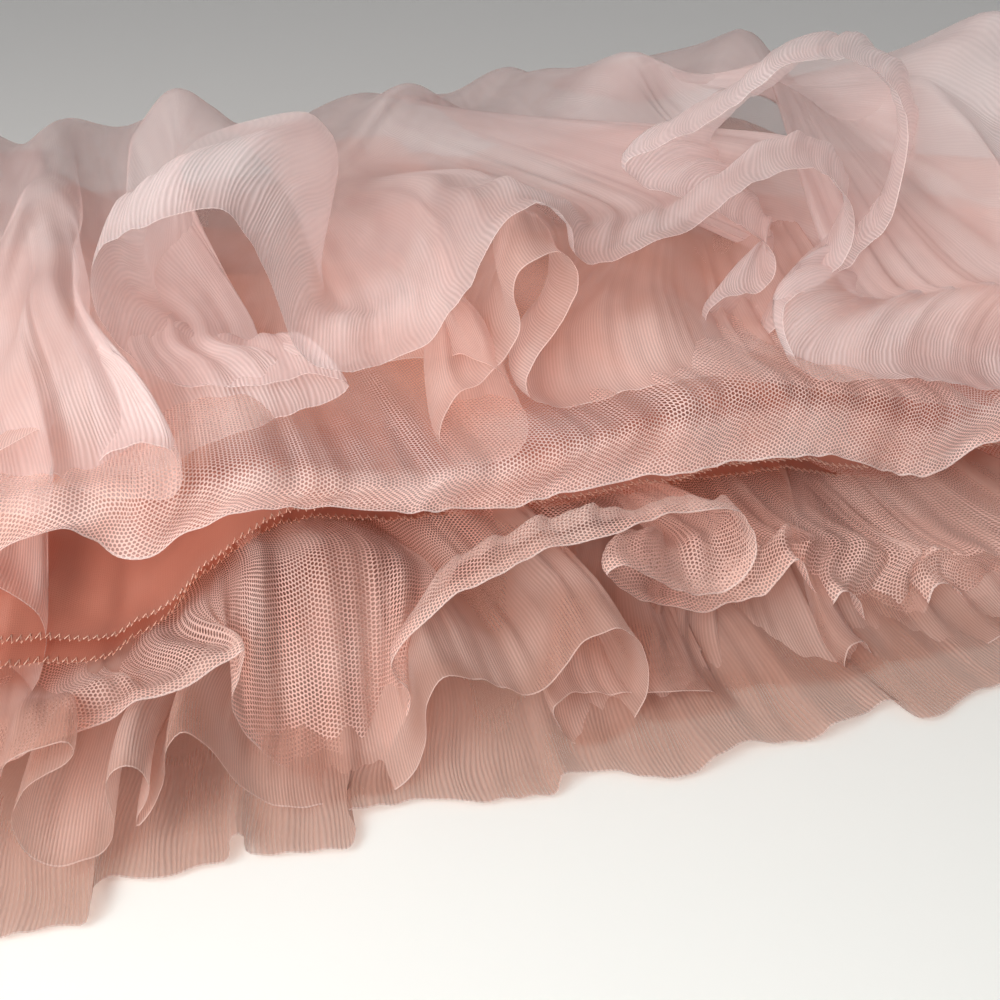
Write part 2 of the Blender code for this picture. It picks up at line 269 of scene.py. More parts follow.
# Large ruffle waves of each panel: place along its hem, rise, width
WAVES = {
    "outer_back": (
        (-0.345, 0.007, 0.018), (-0.285, 0.007, 0.016), (-0.220, 0.008, 0.017),
        (-0.160, 0.008, 0.015), (-0.105, 0.009, 0.013), (-0.045, 0.008, 0.012),
        (0.000, 0.006, 0.014), (0.050, 0.008, 0.012), (0.095, 0.009, 0.013),
        (0.140, 0.007, 0.013), (0.200, 0.008, 0.015), (0.260, 0.007, 0.017),
        (0.325, 0.008, 0.018),
    ),
    "second_back": (
        (-0.320, 0.012, 0.020), (-0.255, 0.016, 0.020), (-0.195, 0.014, 0.018),
        (-0.145, 0.016, 0.015), (-0.100, 0.022, 0.016), (-0.058, 0.016, 0.014),
        (-0.020, 0.030, 0.015), (0.034, 0.034, 0.017), (0.070, 0.016, 0.012),
        (0.112, 0.014, 0.014), (0.160, 0.018, 0.016), (0.215, 0.015, 0.018),
        (0.275, 0.018, 0.020), (0.335, 0.016, 0.020),
    ),
    "net_back": (
        (-0.300, 0.014, 0.022), (-0.235, 0.018, 0.022), (-0.165, 0.014, 0.022),
        (-0.066, 0.014, 0.022), (-0.006, 0.030, 0.026), (0.062, 0.030, 0.026),
        (0.130, 0.014, 0.020), (0.190, 0.018, 0.022), (0.250, 0.014, 0.022),
        (0.310, 0.012, 0.022),
    ),
    "lining_back": (
        (-0.260, 0.010, 0.030), (-0.120, 0.010, 0.030), (0.000, 0.008, 0.034),
        (0.110, 0.008, 0.030), (0.210, 0.010, 0.032),
    ),
    "lining_front": (
        (-0.270, 0.010, 0.026), (-0.185, 0.010, 0.026), (-0.040, 0.010, 0.030),
        (0.060, 0.008, 0.028), (0.150, 0.006, 0.030), (0.240, 0.010, 0.028),
    ),
    "net_front": (
        (-0.300, 0.014, 0.024), (-0.225, 0.012, 0.024), (-0.150, 0.010, 0.022),
        (-0.062, 0.014, 0.028), (0.092, 0.010, 0.034), (0.180, 0.008, 0.024),
        (0.240, 0.012, 0.024), (0.300, 0.010, 0.022),
    ),
    "second_front": (
        (-0.300, 0.018, 0.024), (-0.240, 0.016, 0.020), (-0.185, 0.020, 0.020),
        (-0.120, 0.018, 0.020), (-0.060, 0.014, 0.018), (0.004, 0.012, 0.012),
        (0.044, 0.040, 0.019), (0.090, 0.018, 0.015), (0.150, 0.018, 0.020),
        (0.205, 0.020, 0.018), (0.262, 0.016, 0.020), (0.315, 0.014, 0.020),
    ),
    "outer_front": (
        (-0.270, 0.030, 0.028), (-0.212, 0.034, 0.026), (-0.156, 0.026, 0.022),
        (-0.102, 0.040, 0.018), (-0.050, 0.050, 0.027), (0.048, 0.036, 0.026),
        (0.130, 0.042, 0.028), (0.200, 0.050, 0.028), (0.262, 0.036, 0.026),
    ),
}

# Where the ruffles roll over: along the hem, distance from the waist, height, radius, reach
# towards the waist, turn in degrees (positive rolls to the left seen from the hem)
ROLLS = (
    (-0.205, 0.270, 0.085, 0.042, 0.055, 80),
    (0.245, 0.270, 0.085, 0.042, 0.055, -60),
)

# Where the pile has slid towards the hem: along the hem, distance from the waist, width,
# length, slide
SLIDES = (
    (-0.105, 0.275, 0.045, 0.050, 0.022),
    (0.010, 0.270, 0.040, 0.050, -0.008),
    (0.175, 0.255, 0.050, 0.055, -0.022),
    (0.290, 0.290, 0.050, 0.055, 0.014),
    (-0.230, 0.270, 0.050, 0.055, -0.014),
)

# Where the pile swells up: along the hem, distance from the waist, width, length, share
SWELLS = (
    (0.285, 0.190, 0.070, 0.110, 0.44),
    (-0.230, 0.200, 0.090, 0.110, 0.20),
)
print("panels", [panel[0] for panel in PANELS])

# %% [markdown]
# ## Small ruffles between the large ones
# The large waves are those of the solids. Real tulle also ripples between them, and no two
# ripples are alike. A sine whose phase and height wander gives such an uneven row, and it gives
# the same row each time the script runs. Each panel has its own spacing and height, and a share
# of its length from which the ripples begin.

# %% Uneven ripples
# Name: spacing of the ripples, their height, share of the reach where they begin
RIPPLES = {
    "outer_back": (0.023, 0.0012, 0.80),
    "second_back": (0.017, 0.0050, 0.72),
    "net_back": (0.021, 0.0045, 0.74),
    "lining_back": (0.034, 0.0020, 0.80),
    "lining_front": (0.030, 0.0028, 0.80),
    "net_front": (0.036, 0.0030, 0.78),
    "second_front": (0.019, 0.0055, 0.74),
    "outer_front": (0.033, 0.0050, 0.55),
}


# Slow waves that make a row uneven: their size, how many ripples long, and their share of the seed
SPACING_WAVES = ((1.3, 3.7, 1.0), (0.9, 6.1, 2.3))
HEIGHT_WAVE = (0.35, 2.9, 1.7)


def uneven(along, spacing, seed):
    """A row of ripples from -1 to 1 whose spacing and height wander."""
    turn = 2 * math.pi * along / spacing
    wander = sum(size * np.sin(turn / long + shift * seed) for size, long, shift in SPACING_WAVES)
    size, long, shift = HEIGHT_WAVE
    height = 1 - size + size * np.sin(turn / long + shift * seed)
    return height * np.sin(turn + wander)


def ease(amount):
    """0 to 1 with a soft start and end."""
    amount = np.clip(amount, 0.0, 1.0)
    return amount * amount * (3 - 2 * amount)


def bump_at(across, along, spot, down, width, length):
    """1 at a spot of the plan, falling softly to 0 round it."""
    return np.exp(-((across - spot) / width) ** 2 - ((along + down) / length) ** 2)


# %% Plan and heights
def upper_of(first, second, softness):
    """The higher of two surfaces, with a rounded change from one to the other."""
    return 0.5 * (first + second + np.sqrt((first - second) ** 2 + softness ** 2))


def fullness(side):
    """1 over most of the skirt, 0 along its side seams."""
    return 1 - np.clip(np.abs(side) / SIDE_EDGE, 0, 1) ** 6


def on_plan(side, down):
    """Across and along the floor: the skirt fans out from the waist, and has slid in places."""
    swing = side * SKIRT_SWING
    across = side * WAIST_WIDTH / 2 + np.sin(swing) * down
    slid = down * (1 - CORNER_ROUND * side ** 6)
    for spot, reach, width, length, slide in SLIDES:
        slid = slid + slide * bump_at(across, -down, spot, reach, width, length)
    across = across - np.sign(side) * CORNER_ROUND * side ** 8 * down
    return across, -np.cos(swing) ** HEM_CURVE * slid


def waist_height(index):
    """Height of a gathered panel at the waist."""
    return CLOTH / 2 + CLOTH + SEAM + index * WAIST_PITCH


def side_height(index, layer, side):
    """The panels nest at the side seams, where each back panel meets its front panel."""
    steps = np.clip(np.abs(side) - 1, 0, None) / SIDE_STEP
    middle = CLOTH / 2 + (CLOTH + SEAM) / 2 + 3 * SIDE_PITCH
    away = (CLOTH + SEAM) / 2 + np.clip(layer - steps, 0, None) * SIDE_PITCH
    return middle + np.where(index < len(PANELS) / 2, -away, away)


def wished_height(index, side, down):
    """Where a panel would lie by itself: its crown, its fall to the hem, and its waves."""
    name, layer, reach, crown, hem, drop, calm = PANELS[index]
    rise = waist_height(index) + (crown - waist_height(index)) * ease(down / CROWN)
    fall = (hem - crown) * ease((down - CROWN) / (reach - CROWN))
    fall = fall - drop * ease((down - reach) / HEM_TURN + 1)
    at_hem = on_plan(side, reach)[0]
    waves = 0.0
    for along, height, width in WAVES[name]:
        waves = waves + height * np.exp(-((at_hem - along) / width) ** 2)
    waves = waves * ease((down / reach - calm) / (FULL_WAVES - calm))
    spacing, height, begin = RIPPLES[name]
    ripples = height * (1 + uneven(at_hem, spacing, index)) * ease((down / reach - begin) / (1 - begin))
    edge = side_height(index, layer, side)
    return edge + (rise + fall + waves + ripples - edge) * fullness(side)


def slope_of(height, across, along):
    """How much longer a surface is than its plan, so that gaps are kept square to it."""
    height_i, across_i, along_i = (np.gradient(values, axis=0) for values in (height, across, along))
    height_j, across_j, along_j = (np.gradient(values, axis=1) for values in (height, across, along))
    plan = across_i * along_j - across_j * along_i
    to_x = (height_i * along_j - height_j * along_i) / plan
    to_y = (height_j * across_i - height_i * across_j) / plan
    return np.sqrt(1 + to_x ** 2 + to_y ** 2)


# %% [markdown]
# ## Gathers, creases, rolls and leans
# At the waist the cloth is drawn together on a thread, so close to the band it stands in small
# sharp gathers that die out down the skirt. A few long soft creases run on from them. All sheets
# share these, because they were gathered and pressed together.

# %% Forms that all sheets share
GATHERS = (0.0085, 0.0022, 0.110)
CREASES = (0.046, 0.0040, 0.080)
CREASE_ROW = 0.30
CREASE_FADE = (0.17, 0.10)
LEAN_SPACING = 0.21
LEAN_START = 0.7
LEAN = 0.40
LEAN_ROWS = (0.15, 0.12)
LEAN_SIDES = (0.31, 0.08)
LEAN_FREE = (0.035, 0.150, 0.05)
LEAN_HEIGHT = 0.05


def shared_rise(side, across, down):
    """Gathers near the waist and long creases below them, the same for every sheet."""
    spacing, height, length = GATHERS
    waist_place = side * WAIST_WIDTH / 2
    gather = height * (0.5 + 0.5 * uneven(waist_place, spacing, 1.0)) * (1 - ease(down / length))
    spacing, height, begin = CREASES
    row = uneven(side * CREASE_ROW, spacing, 4.0)
    fading = ease((down - CREASE_FADE[0]) / CREASE_FADE[1])
    crease = height * (0.5 + 0.5 * row) * ease(down / begin) * (1 - fading)
    return (gather + crease) * fullness(side)


def swell_at(across, down):
    """Share by which the pile stands higher at each place."""
    share = 0.0
    for along, spot, width, length, most in SWELLS:
        share = share + most * bump_at(across, -down, along, spot, width, length)
    return share


def roll_over(points):
    """Turn the points round each roll's axis, fully at the middle and not at all at its rim."""
    points = points.copy()
    for along, down, height, radius, reach, turn in ROLLS:
        across = points[..., 0] - along
        above = points[..., 2] - height
        near = np.clip(1 - (across ** 2 + above ** 2) / radius ** 2, 0, 1) ** 2
        near = near * np.exp(-((points[..., 1] + down) / reach) ** 2)
        angle = math.radians(turn) * near
        points[..., 0] = along + across * np.cos(angle) - above * np.sin(angle)
        points[..., 2] = height + across * np.sin(angle) + above * np.cos(angle)
    return points


def lean_over(points):
    """Lean the ruffles at both sides to the left and right in turn, more the nearer to the hem."""
    points = points.copy()
    across = points[..., 0]
    lean = LEAN * np.sin(2 * math.pi * across / LEAN_SPACING + LEAN_START)
    lean = lean * ease((-points[..., 1] - LEAN_ROWS[0]) / LEAN_ROWS[1])
    lean = lean * ease((LEAN_SIDES[0] - np.abs(across)) / LEAN_SIDES[1])
    middle, half_width, fading = LEAN_FREE
    lean = lean * ease((np.abs(across - middle) - half_width) / fading)
    points[..., 0] = across + lean * (points[..., 2] - LEAN_HEIGHT)
    return points


# %% Tucks across the top of the pile
# Place across, distance from the waist, half length, half width, height, lean towards the hem
TUCKS = {
    "outer_front": (
        (-0.140, 0.150, 0.040, 0.012, 0.014, 0.010),
        (-0.085, 0.180, 0.035, 0.010, 0.006, 0.012),
        (-0.040, 0.150, 0.050, 0.009, 0.003, 0.010),
        (0.035, 0.160, 0.045, 0.010, 0.009, 0.014),
        (0.075, 0.120, 0.050, 0.012, 0.007, 0.010),
        (0.125, 0.175, 0.040, 0.010, 0.010, 0.013),
        (0.245, 0.185, 0.045, 0.014, 0.014, 0.012),
        (-0.220, 0.185, 0.045, 0.012, 0.013, 0.012),
    ),
    "second_front": (
        (-0.130, 0.160, 0.040, 0.012, 0.005, 0.004),
        (0.050, 0.150, 0.045, 0.012, 0.004, 0.004),
        (0.195, 0.120, 0.050, 0.026, 0.013, 0.000),
    ),
}
TUCK_SLANT = 0.25


def tuck_up(points, tucks):
    """Raise long soft tucks across a sheet, each tipped over a little towards the hem."""
    points = points.copy()
    for across, down, length, width, height, lean in tucks:
        slant = TUCK_SLANT * (points[..., 0] - across)
        near = np.exp(-((points[..., 0] - across) / length) ** 2)
        near = near * np.exp(-((points[..., 1] + down - slant) / width) ** 2)
        points[..., 2] = points[..., 2] + height * near
        points[..., 1] = points[..., 1] - lean * near
    return points


# %% Work out the pile
FINE_COLUMNS = 420
COARSE_ROW = 0.0065
FINE_ROW = 0.0034
COARSE_REACH = 0.09
NEST_PARTS = 2


def skirt_sheets():
    """Places of every sheet of the skirt on one fine grid, cut at its own hem and side seams."""
    most = max(panel[1] for panel in PANELS)
    nested = 1 + SIDE_STEP * np.arange(1, most * NEST_PARTS + 1) / NEST_PARTS
    place = np.concatenate((-nested[::-1], np.linspace(-1, 1, FINE_COLUMNS + 1), nested))
    stops = [0.0, COARSE_REACH] + sorted({panel[2] for panel in PANELS})
    down = [np.zeros(1)]
    for start, stop in zip(stops, stops[1:]):
        row = COARSE_ROW if stop <= COARSE_REACH else FINE_ROW
        down.append(np.linspace(start, stop, math.ceil((stop - start) / row) + 1)[1:])
    down = np.concatenate(down)
    inside = np.clip(place, -1, 1)
    side = place - CLOSER * np.sin(math.pi * inside) / math.pi
    side, deep = np.meshgrid(side, down, indexing="ij")
    across, along = on_plan(side, deep)
    opened = ease(deep / CROWN) * (SIDE_SHARE + (1 - SIDE_SHARE) * fullness(side))
    gap = WAIST_PITCH + (OPEN_GAP - WAIST_PITCH) * opened
    rise = shared_rise(side, across, deep)
    sheets = {}
    lower = None
    for index, panel in enumerate(PANELS):
        height = wished_height(index, side, deep)
        if lower is not None:
            apart = np.minimum(gap * slope_of(lower, across, along), 3 * gap)
            apart = np.where(np.abs(side) > 1 - 1e-6, CLOTH + SEAM, apart)
            softness = 0.5 * np.clip(gap - WAIST_PITCH, 0, None)
            height = upper_of(height, lower + apart, softness)
        here = np.abs(side) <= 1 + (panel[1] + 0.25) * SIDE_STEP
        lower = height if lower is None else np.where(here, height, lower)
        height = height + rise * (index > 0) + (height - CLOTH / 2) * swell_at(across, deep)
        points = lean_over(roll_over(np.stack((across, along, height), axis=-1)))
        points = tuck_up(points, TUCKS.get(panel[0], ()))
        ends = (most - panel[1]) * NEST_PARTS
        kept = np.count_nonzero(down <= panel[2] + 1e-9)
        sheets[panel[0]] = (points[ends:len(place) - ends, :kept], down[:kept])
    return sheets


piled = skirt_sheets()
for name, (points, down) in piled.items():
    print(name, points.shape[:2], "top", round(float(points[..., 2].max()), 4))

# %% [markdown]
# ## Hems laid through given places
# The ruffles in front of the camera roll and double back in ways that no wave gives. There the
# hem of each panel is laid through places read off the picture: across, down, and how far from
# the waist that stretch of the hem lies. The camera turns each place into a point in space, and a
# smooth curve runs through them. The cloth above the hem follows less and less, up to where the
# pile's own form begins, so a ruffle opens towards its hem like a cone, as gathered cloth does.
# Long creases run up from each hem, as in cloth that was gathered and pressed. A hem that is laid
# through given places isn't kept off its neighbour, so the two can touch, unlike sheets in the pile.

# %% From the picture to a place
PICTURE = 1000
FILM_WIDTH = 36.0


def sight_through(across, down):
    """The camera's place, seen from the waist, and its line of sight through a pixel."""
    scale = FILM_WIDTH / VIEW_LENS / PICTURE
    ray = Vector(((across - PICTURE / 2) * scale, (PICTURE / 2 - down) * scale, -1))
    return camera.location - waist, camera.rotation_euler.to_matrix() @ ray


def place_seen(across, down, distance):
    """The place at that distance from the waist, in millimetres, that the camera sees at a pixel."""
    start, ray = sight_through(across, down)
    place = start + ray * ((-distance / 1000 - start.y) / ray.y)
    place.z = max(place.z, FLOOR_GAP)
    return place


def floor_seen(across, down, height):
    """The place at that height over the floor, in millimetres, that the camera sees at a pixel."""
    start, ray = sight_through(across, down)
    return start + ray * ((height / 1000 - start.z) / ray.z)


# %% Hems of the panels in front of the camera
FLOOR_GAP = 0.0012
GUIDE_FADE = 0.05
LOCAL_FADE = 0.03
CRIMP = (0.0005, 0.011)
SWAY = (0.0014, 0.031)

# Panel: columns of its sheet, length over which it follows, how its places are read, and guides
# as height above the hem with places across, down and distance (or height on the floor). Where
# four values are given, the first is the number of the hem's place that this one lies above.
GUIDES = {
    "outer_front": (820, 0.135, place_seen, (
        (0.085, (
            (0, -150, 330, 232), (2, -30, 285, 228), (4, 6, 240, 224), (5, 17, 200, 221),
            (6, 26, 184, 219), (7, 38, 178, 218), (8, 58, 178, 218), (9, 80, 195, 219),
            (10, 84, 225, 221), (12, 72, 245, 224), (14, 90, 262, 224), (17, 150, 290, 220),
        )),
        (0.045, (
            (0, -150, 430, 262), (2, -20, 400, 262), (4, 20, 350, 260), (5, 22, 305, 256),
            (6, 28, 278, 254), (7, 45, 268, 253), (8, 72, 272, 253), (9, 94, 298, 254),
            (10, 92, 325, 256), (12, 62, 335, 258), (13, 84, 332, 256), (15, 180, 330, 245),
            (17, 260, 330, 232), (19, 250, 335, 225), (20, 205, 325, 222),
            (22, 150, 285, 222), (24, 140, 220, 222), (25, 165, 163, 222), (26, 240, 122, 222),
            (27, 318, 107, 221), (28, 342, 132, 221), (29, 337, 182, 222), (30, 320, 245, 223),
            (31, 316, 285, 232), (32, 335, 303, 238), (33, 370, 295, 242), (34, 398, 262, 242),
            (35, 412, 215, 238), (36, 425, 182, 234), (37, 460, 172, 230), (38, 510, 183, 225),
            (39, 560, 200, 218), (41, 600, 212, 217), (43, 680, 190, 214), (45, 780, 135, 210),
            (47, 835, 150, 208), (49, 835, 215, 212), (51, 800, 250, 215), (53, 770, 262, 216),
            (56, 770, 240, 213), (59, 740, 180, 206), (61, 700, 140, 200), (63, 740, 100, 198),
            (66, 825, 42, 197), (68, 890, 60, 197), (70, 915, 120, 199), (72, 895, 200, 205),
            (74, 850, 262, 232), (76, 850, 300, 256), (79, 920, 292, 266), (80, 1000, 282, 276),
            (82, 1150, 262, 276),
        )),
        (0.0, (
            (-150, 520, 300), (-70, 565, 300), (0, 549, 298), (40, 528, 296), (52, 500, 294),
            (50, 474, 292), (72, 488, 290), (120, 500, 290), (162, 502, 290), (183, 482, 290),
            (173, 454, 288), (145, 446, 286), (112, 455, 285), (100, 474, 283), (150, 470, 276),
            (250, 430, 270), (330, 402, 268), (348, 385, 266), (310, 377, 263), (240, 388, 262),
            (182, 388, 262), (140, 366, 262), (105, 330, 262), (91, 290, 262), (98, 256, 262),
            (132, 232, 262), (180, 215, 262), (222, 214, 263), (247, 238, 265), (270, 283, 267),
            (284, 322, 269), (300, 356, 272), (328, 371, 275), (376, 368, 278), (425, 345, 280),
            (462, 300, 280), (488, 250, 278), (515, 216, 275), (546, 206, 271), (570, 228, 266),
            (580, 262, 260), (604, 263, 257), (648, 248, 256), (697, 226, 256), (748, 188, 255),
            (788, 171, 254), (826, 176, 252), (850, 208, 252), (852, 250, 254), (820, 284, 256),
            (787, 302, 258), (774, 330, 258), (752, 353, 258), (730, 358, 258), (709, 345, 258),
            (705, 318, 256), (724, 300, 254), (766, 290, 250), (770, 250, 240), (700, 205, 234),
            (645, 188, 231), (626, 166, 230), (660, 147, 230), (700, 130, 230), (735, 108, 230),
            (768, 78, 230), (810, 62, 230), (850, 62, 230), (885, 80, 231), (905, 115, 232),
            (908, 155, 234), (898, 200, 238), (872, 245, 246), (830, 280, 256), (792, 300, 265),
            (783, 325, 272), (790, 352, 280), (806, 374, 287), (838, 385, 292), (906, 379, 296),
            (1000, 392, 298), (1070, 392, 297), (1150, 380, 295),
        )),
    )),
    "second_front": (700, 0.105, place_seen, (
        (0.0, (
            (-150, 690, 304), (-50, 745, 305), (0, 735, 305), (30, 694, 305), (46, 655, 304),
            (38, 614, 302), (0, 592, 300), (-40, 560, 297), (-50, 500, 292), (20, 440, 284),
            (120, 396, 264), (210, 376, 254), (300, 370, 247), (380, 364, 248), (425, 358, 256),
            (464, 358, 268), (495, 370, 280), (516, 395, 281), (527, 425, 282), (517, 452, 283),
            (490, 466, 283), (459, 467, 283), (441, 449, 282), (442, 422, 281), (458, 396, 280),
            (484, 382, 278), (507, 358, 276), (519, 328, 275), (515, 298, 274), (520, 274, 274),
            (536, 259, 274), (556, 254, 274), (574, 264, 275), (578, 282, 276), (571, 305, 277),
            (555, 336, 278), (534, 364, 279), (526, 388, 280), (538, 403, 281), (572, 408, 282),
            (612, 400, 285), (655, 386, 288), (700, 379, 290), (770, 384, 292), (860, 396, 294),
            (1000, 410, 294), (1070, 410, 293), (1150, 400, 292),
        )),
    )),
    "net_front": (560, 0.075, place_seen, (
        (0.018, (
            (-150, 560, 296), (-60, 522, 298), (0, 508, 300), (100, 498, 300), (180, 477, 300),
            (260, 474, 300), (350, 480, 300), (420, 478, 300), (480, 465, 300), (560, 443, 300),
            (640, 420, 300), (700, 398, 300), (760, 382, 300), (850, 385, 300), (930, 397, 300),
            (1000, 403, 300), (1070, 402, 300), (1150, 395, 298),
        )),
        (0.0, (
            (-150, 640, 304), (-60, 588, 305), (0, 554, 305), (58, 530, 305), (84, 536, 305),
            (110, 556, 305), (134, 560, 305), (160, 553, 305), (199, 530, 305), (245, 513, 305),
            (331, 511, 305), (431, 512, 305), (500, 510, 305), (579, 492, 305), (657, 477, 305),
            (734, 466, 305), (790, 458, 305), (846, 460, 305), (901, 477, 305), (945, 469, 305),
            (1000, 442, 305), (1070, 428, 305), (1150, 420, 304),
        )),
    )),
    "lining_front": (420, 0.070, place_seen, (
        (0.0, (
            (-150, 655, 305), (-60, 655, 305), (0, 644, 305), (46, 642, 305), (93, 639, 305),
            (134, 628, 304), (166, 606, 303), (200, 575, 301), (240, 540, 298), (300, 512, 294),
            (430, 508, 292), (520, 506, 294), (620, 490, 296), (720, 470, 294), (790, 460, 292),
            (870, 468, 292), (1000, 445, 293), (1070, 432, 293), (1150, 427, 293),
        )),
    )),
    "lining_back": (420, 0.070, place_seen, (
        (0.0, (
            (-150, 675, 305), (-60, 676, 305), (0, 668, 305), (46, 666, 305), (93, 660, 305),
            (134, 642, 303), (166, 616, 300), (200, 580, 296), (240, 548, 290), (300, 522, 284),
            (430, 518, 280), (520, 512, 280), (620, 495, 280), (720, 478, 280), (790, 470, 280),
            (870, 478, 280), (1000, 455, 280), (1070, 440, 280), (1150, 435, 280),
        )),
    )),
    "net_back": (760, 0.105, place_seen, (
        (0.050, (
            (0, -150, 735, 300), (3, 55, 680, 300), (5, 165, 625, 298), (6, 195, 600, 297),
            (8, 226, 580, 300), (9, 244, 566, 301), (10, 262, 548, 305), (11, 290, 556, 300),
            (12, 318, 538, 306), (13, 348, 552, 300), (14, 374, 540, 306), (15, 404, 562, 300),
            (16, 430, 562, 304), (17, 442, 590, 298), (19, 452, 556, 296), (21, 500, 536, 296),
            (23, 590, 515, 296), (25, 665, 500, 296), (27, 700, 497, 298), (29, 690, 510, 297),
            (31, 662, 520, 294), (33, 640, 520, 292), (35, 650, 532, 292), (37, 710, 545, 297),
            (39, 772, 530, 303), (41, 802, 530, 306), (43, 842, 530, 308), (46, 900, 545, 316),
            (50, 960, 540, 322), (54, 1150, 495, 314),
        )),
        (0.0, (
            (-150, 810, 334), (-60, 792, 335), (0, 768, 335), (66, 738, 335), (166, 695, 335),
            (224, 668, 334), (244, 650, 332), (240, 675, 332), (232, 708, 333), (250, 742, 335),
            (276, 765, 336), (310, 783, 337), (345, 790, 338), (372, 783, 338), (387, 762, 337),
            (400, 730, 336), (410, 697, 334), (392, 672, 332), (402, 645, 330), (431, 619, 330),
            (464, 593, 330), (500, 573, 330), (542, 556, 330), (598, 540, 330), (649, 522, 330),
            (700, 512, 330), (732, 511, 330), (750, 525, 330), (755, 547, 330), (748, 572, 330),
            (735, 590, 330), (716, 599, 330), (679, 592, 330), (649, 577, 328), (622, 567, 326),
            (608, 578, 324), (640, 600, 320), (700, 612, 320), (760, 596, 321), (798, 562, 323),
            (812, 586, 326), (827, 608, 328), (842, 592, 328), (858, 600, 330), (871, 629, 332),
            (898, 642, 332), (922, 612, 330), (938, 588, 330), (958, 592, 330), (968, 625, 332),
            (985, 648, 333), (1010, 636, 333), (1030, 600, 331), (1070, 580, 330), (1150, 560, 330),
        )),
    )),
    "second_back": (860, 0.085, place_seen, (
        (0.0, (
            (-150, 860, 350), (-60, 850, 350), (-12, 806, 350), (4, 772, 350), (22, 757, 349),
            (45, 747, 348), (66, 741, 348), (74, 755, 348), (67, 770, 348), (44, 777, 348),
            (22, 792, 350), (12, 828, 352), (27, 854, 353), (52, 867, 354), (85, 862, 354),
            (109, 850, 353), (114, 826, 352), (107, 802, 350), (106, 785, 350), (114, 771, 350),
            (128, 766, 350), (143, 773, 350), (149, 791, 350), (141, 811, 350), (137, 832, 351),
            (153, 812, 351), (164, 777, 350), (168, 748, 348), (186, 736, 346), (210, 750, 346),
            (238, 786, 348), (262, 802, 349), (305, 806, 350), (352, 803, 350), (398, 790, 350),
            (424, 750, 349), (428, 705, 347), (444, 678, 346), (476, 682, 346), (512, 692, 346),
            (539, 691, 346), (567, 669, 346), (587, 646, 346), (615, 631, 346), (637, 640, 346),
            (647, 664, 346), (648, 690, 347), (641, 712, 348), (625, 733, 349), (600, 747, 350),
            (576, 746, 350), (561, 730, 348), (553, 705, 345), (590, 695, 340), (635, 694, 342),
            (670, 695, 346), (702, 692, 347), (727, 700, 347), (734, 721, 348), (727, 743, 349),
            (702, 758, 350), (671, 757, 350), (653, 739, 349), (648, 714, 346), (690, 712, 342),
            (750, 706, 343), (785, 728, 347), (822, 735, 349), (852, 716, 349), (879, 694, 348),
            (880, 668, 347), (864, 645, 346), (848, 648, 346), (844, 668, 346), (866, 692, 346),
            (904, 700, 348), (944, 704, 349), (1000, 672, 349), (1070, 655, 349), (1150, 640, 349),
        )),
    )),
    "outer_back": (560, 0.050, floor_seen, (
        (0.0, (
            (-150, 965, 1.5), (-60, 946, 1.5), (0, 937, 1.5), (60, 931, 1.5), (85, 926, 1.5),
            (91, 900, 5.0), (97, 886, 2.0), (149, 878, 1.5), (222, 865, 1.5), (230, 840, 6.0),
            (243, 836, 6.0), (253, 856, 1.5), (325, 854, 1.5), (350, 851, 1.5), (356, 830, 3.0),
            (350, 808, 4.0), (400, 804, 1.5), (470, 802, 1.5), (530, 799, 1.5), (556, 794, 1.5),
            (563, 775, 5.0), (588, 774, 2.0), (640, 775, 1.5), (690, 776, 1.5), (722, 760, 4.0),
            (746, 743, 4.0), (780, 743, 1.5), (820, 740, 1.5), (836, 724, 5.0), (870, 713, 2.0),
            (897, 702, 4.0), (908, 714, 1.5), (940, 714, 1.5), (1000, 686, 1.5), (1070, 664, 1.5),
            (1150, 640, 1.5),
        )),
    )),
}


def curve_through(places, count):
    """A smooth curve through the places, as evenly spaced points."""
    places = np.asarray(places)
    ends = (2 * places[:1] - places[1:2], places, 2 * places[-1:] - places[-2:-1])
    knots = np.concatenate(ends)
    share = np.linspace(0, 1, 16, endpoint=False)[:, None]
    parts = []
    for first, second, third, fourth in zip(knots, knots[1:], knots[2:], knots[3:]):
        parts.append(0.5 * (2 * second + (third - first) * share
            + (2 * first - 5 * second + 4 * third - fourth) * share ** 2
            + (3 * second - first - 3 * third + fourth) * share ** 3))
    path = np.concatenate(parts + [places[-1:]])
    far = np.concatenate(([0], np.cumsum(np.linalg.norm(np.diff(path, axis=0), axis=1))))
    at = np.linspace(0, far[-1], count)
    path = np.stack([np.interp(at, far, path[:, k]) for k in range(3)], axis=1)
    return path, far[::len(share)] / far[-1], far[-1]


def softened(values):
    """Values of each column, averaged with those of the columns beside it."""
    window = np.hanning(SOFTENING + 2)[1:-1]
    window = window / window.sum()
    flat = values.reshape(len(values), -1)
    padded = np.pad(flat, ((SOFTENING // 2, SOFTENING // 2), (0, 0)), mode="edge")
    soft = [np.convolve(padded[:, k], window, mode="valid") for k in range(flat.shape[1])]
    return np.stack(soft, axis=1).reshape(values.shape)


def between_columns(points, at):
    """Read a sheet between its columns, on smooth curves along it."""
    index = np.clip(at.astype(int), 0, len(points) - 2)
    share = (at - index)[:, None, None]
    slope = np.gradient(points, axis=0)
    square, cube = share ** 2, share ** 3
    return ((2 * cube - 3 * square + 1) * points[index] + (cube - 2 * square + share) * slope[index]
        + (3 * square - 2 * cube) * points[index + 1] + (cube - square) * slope[index + 1])


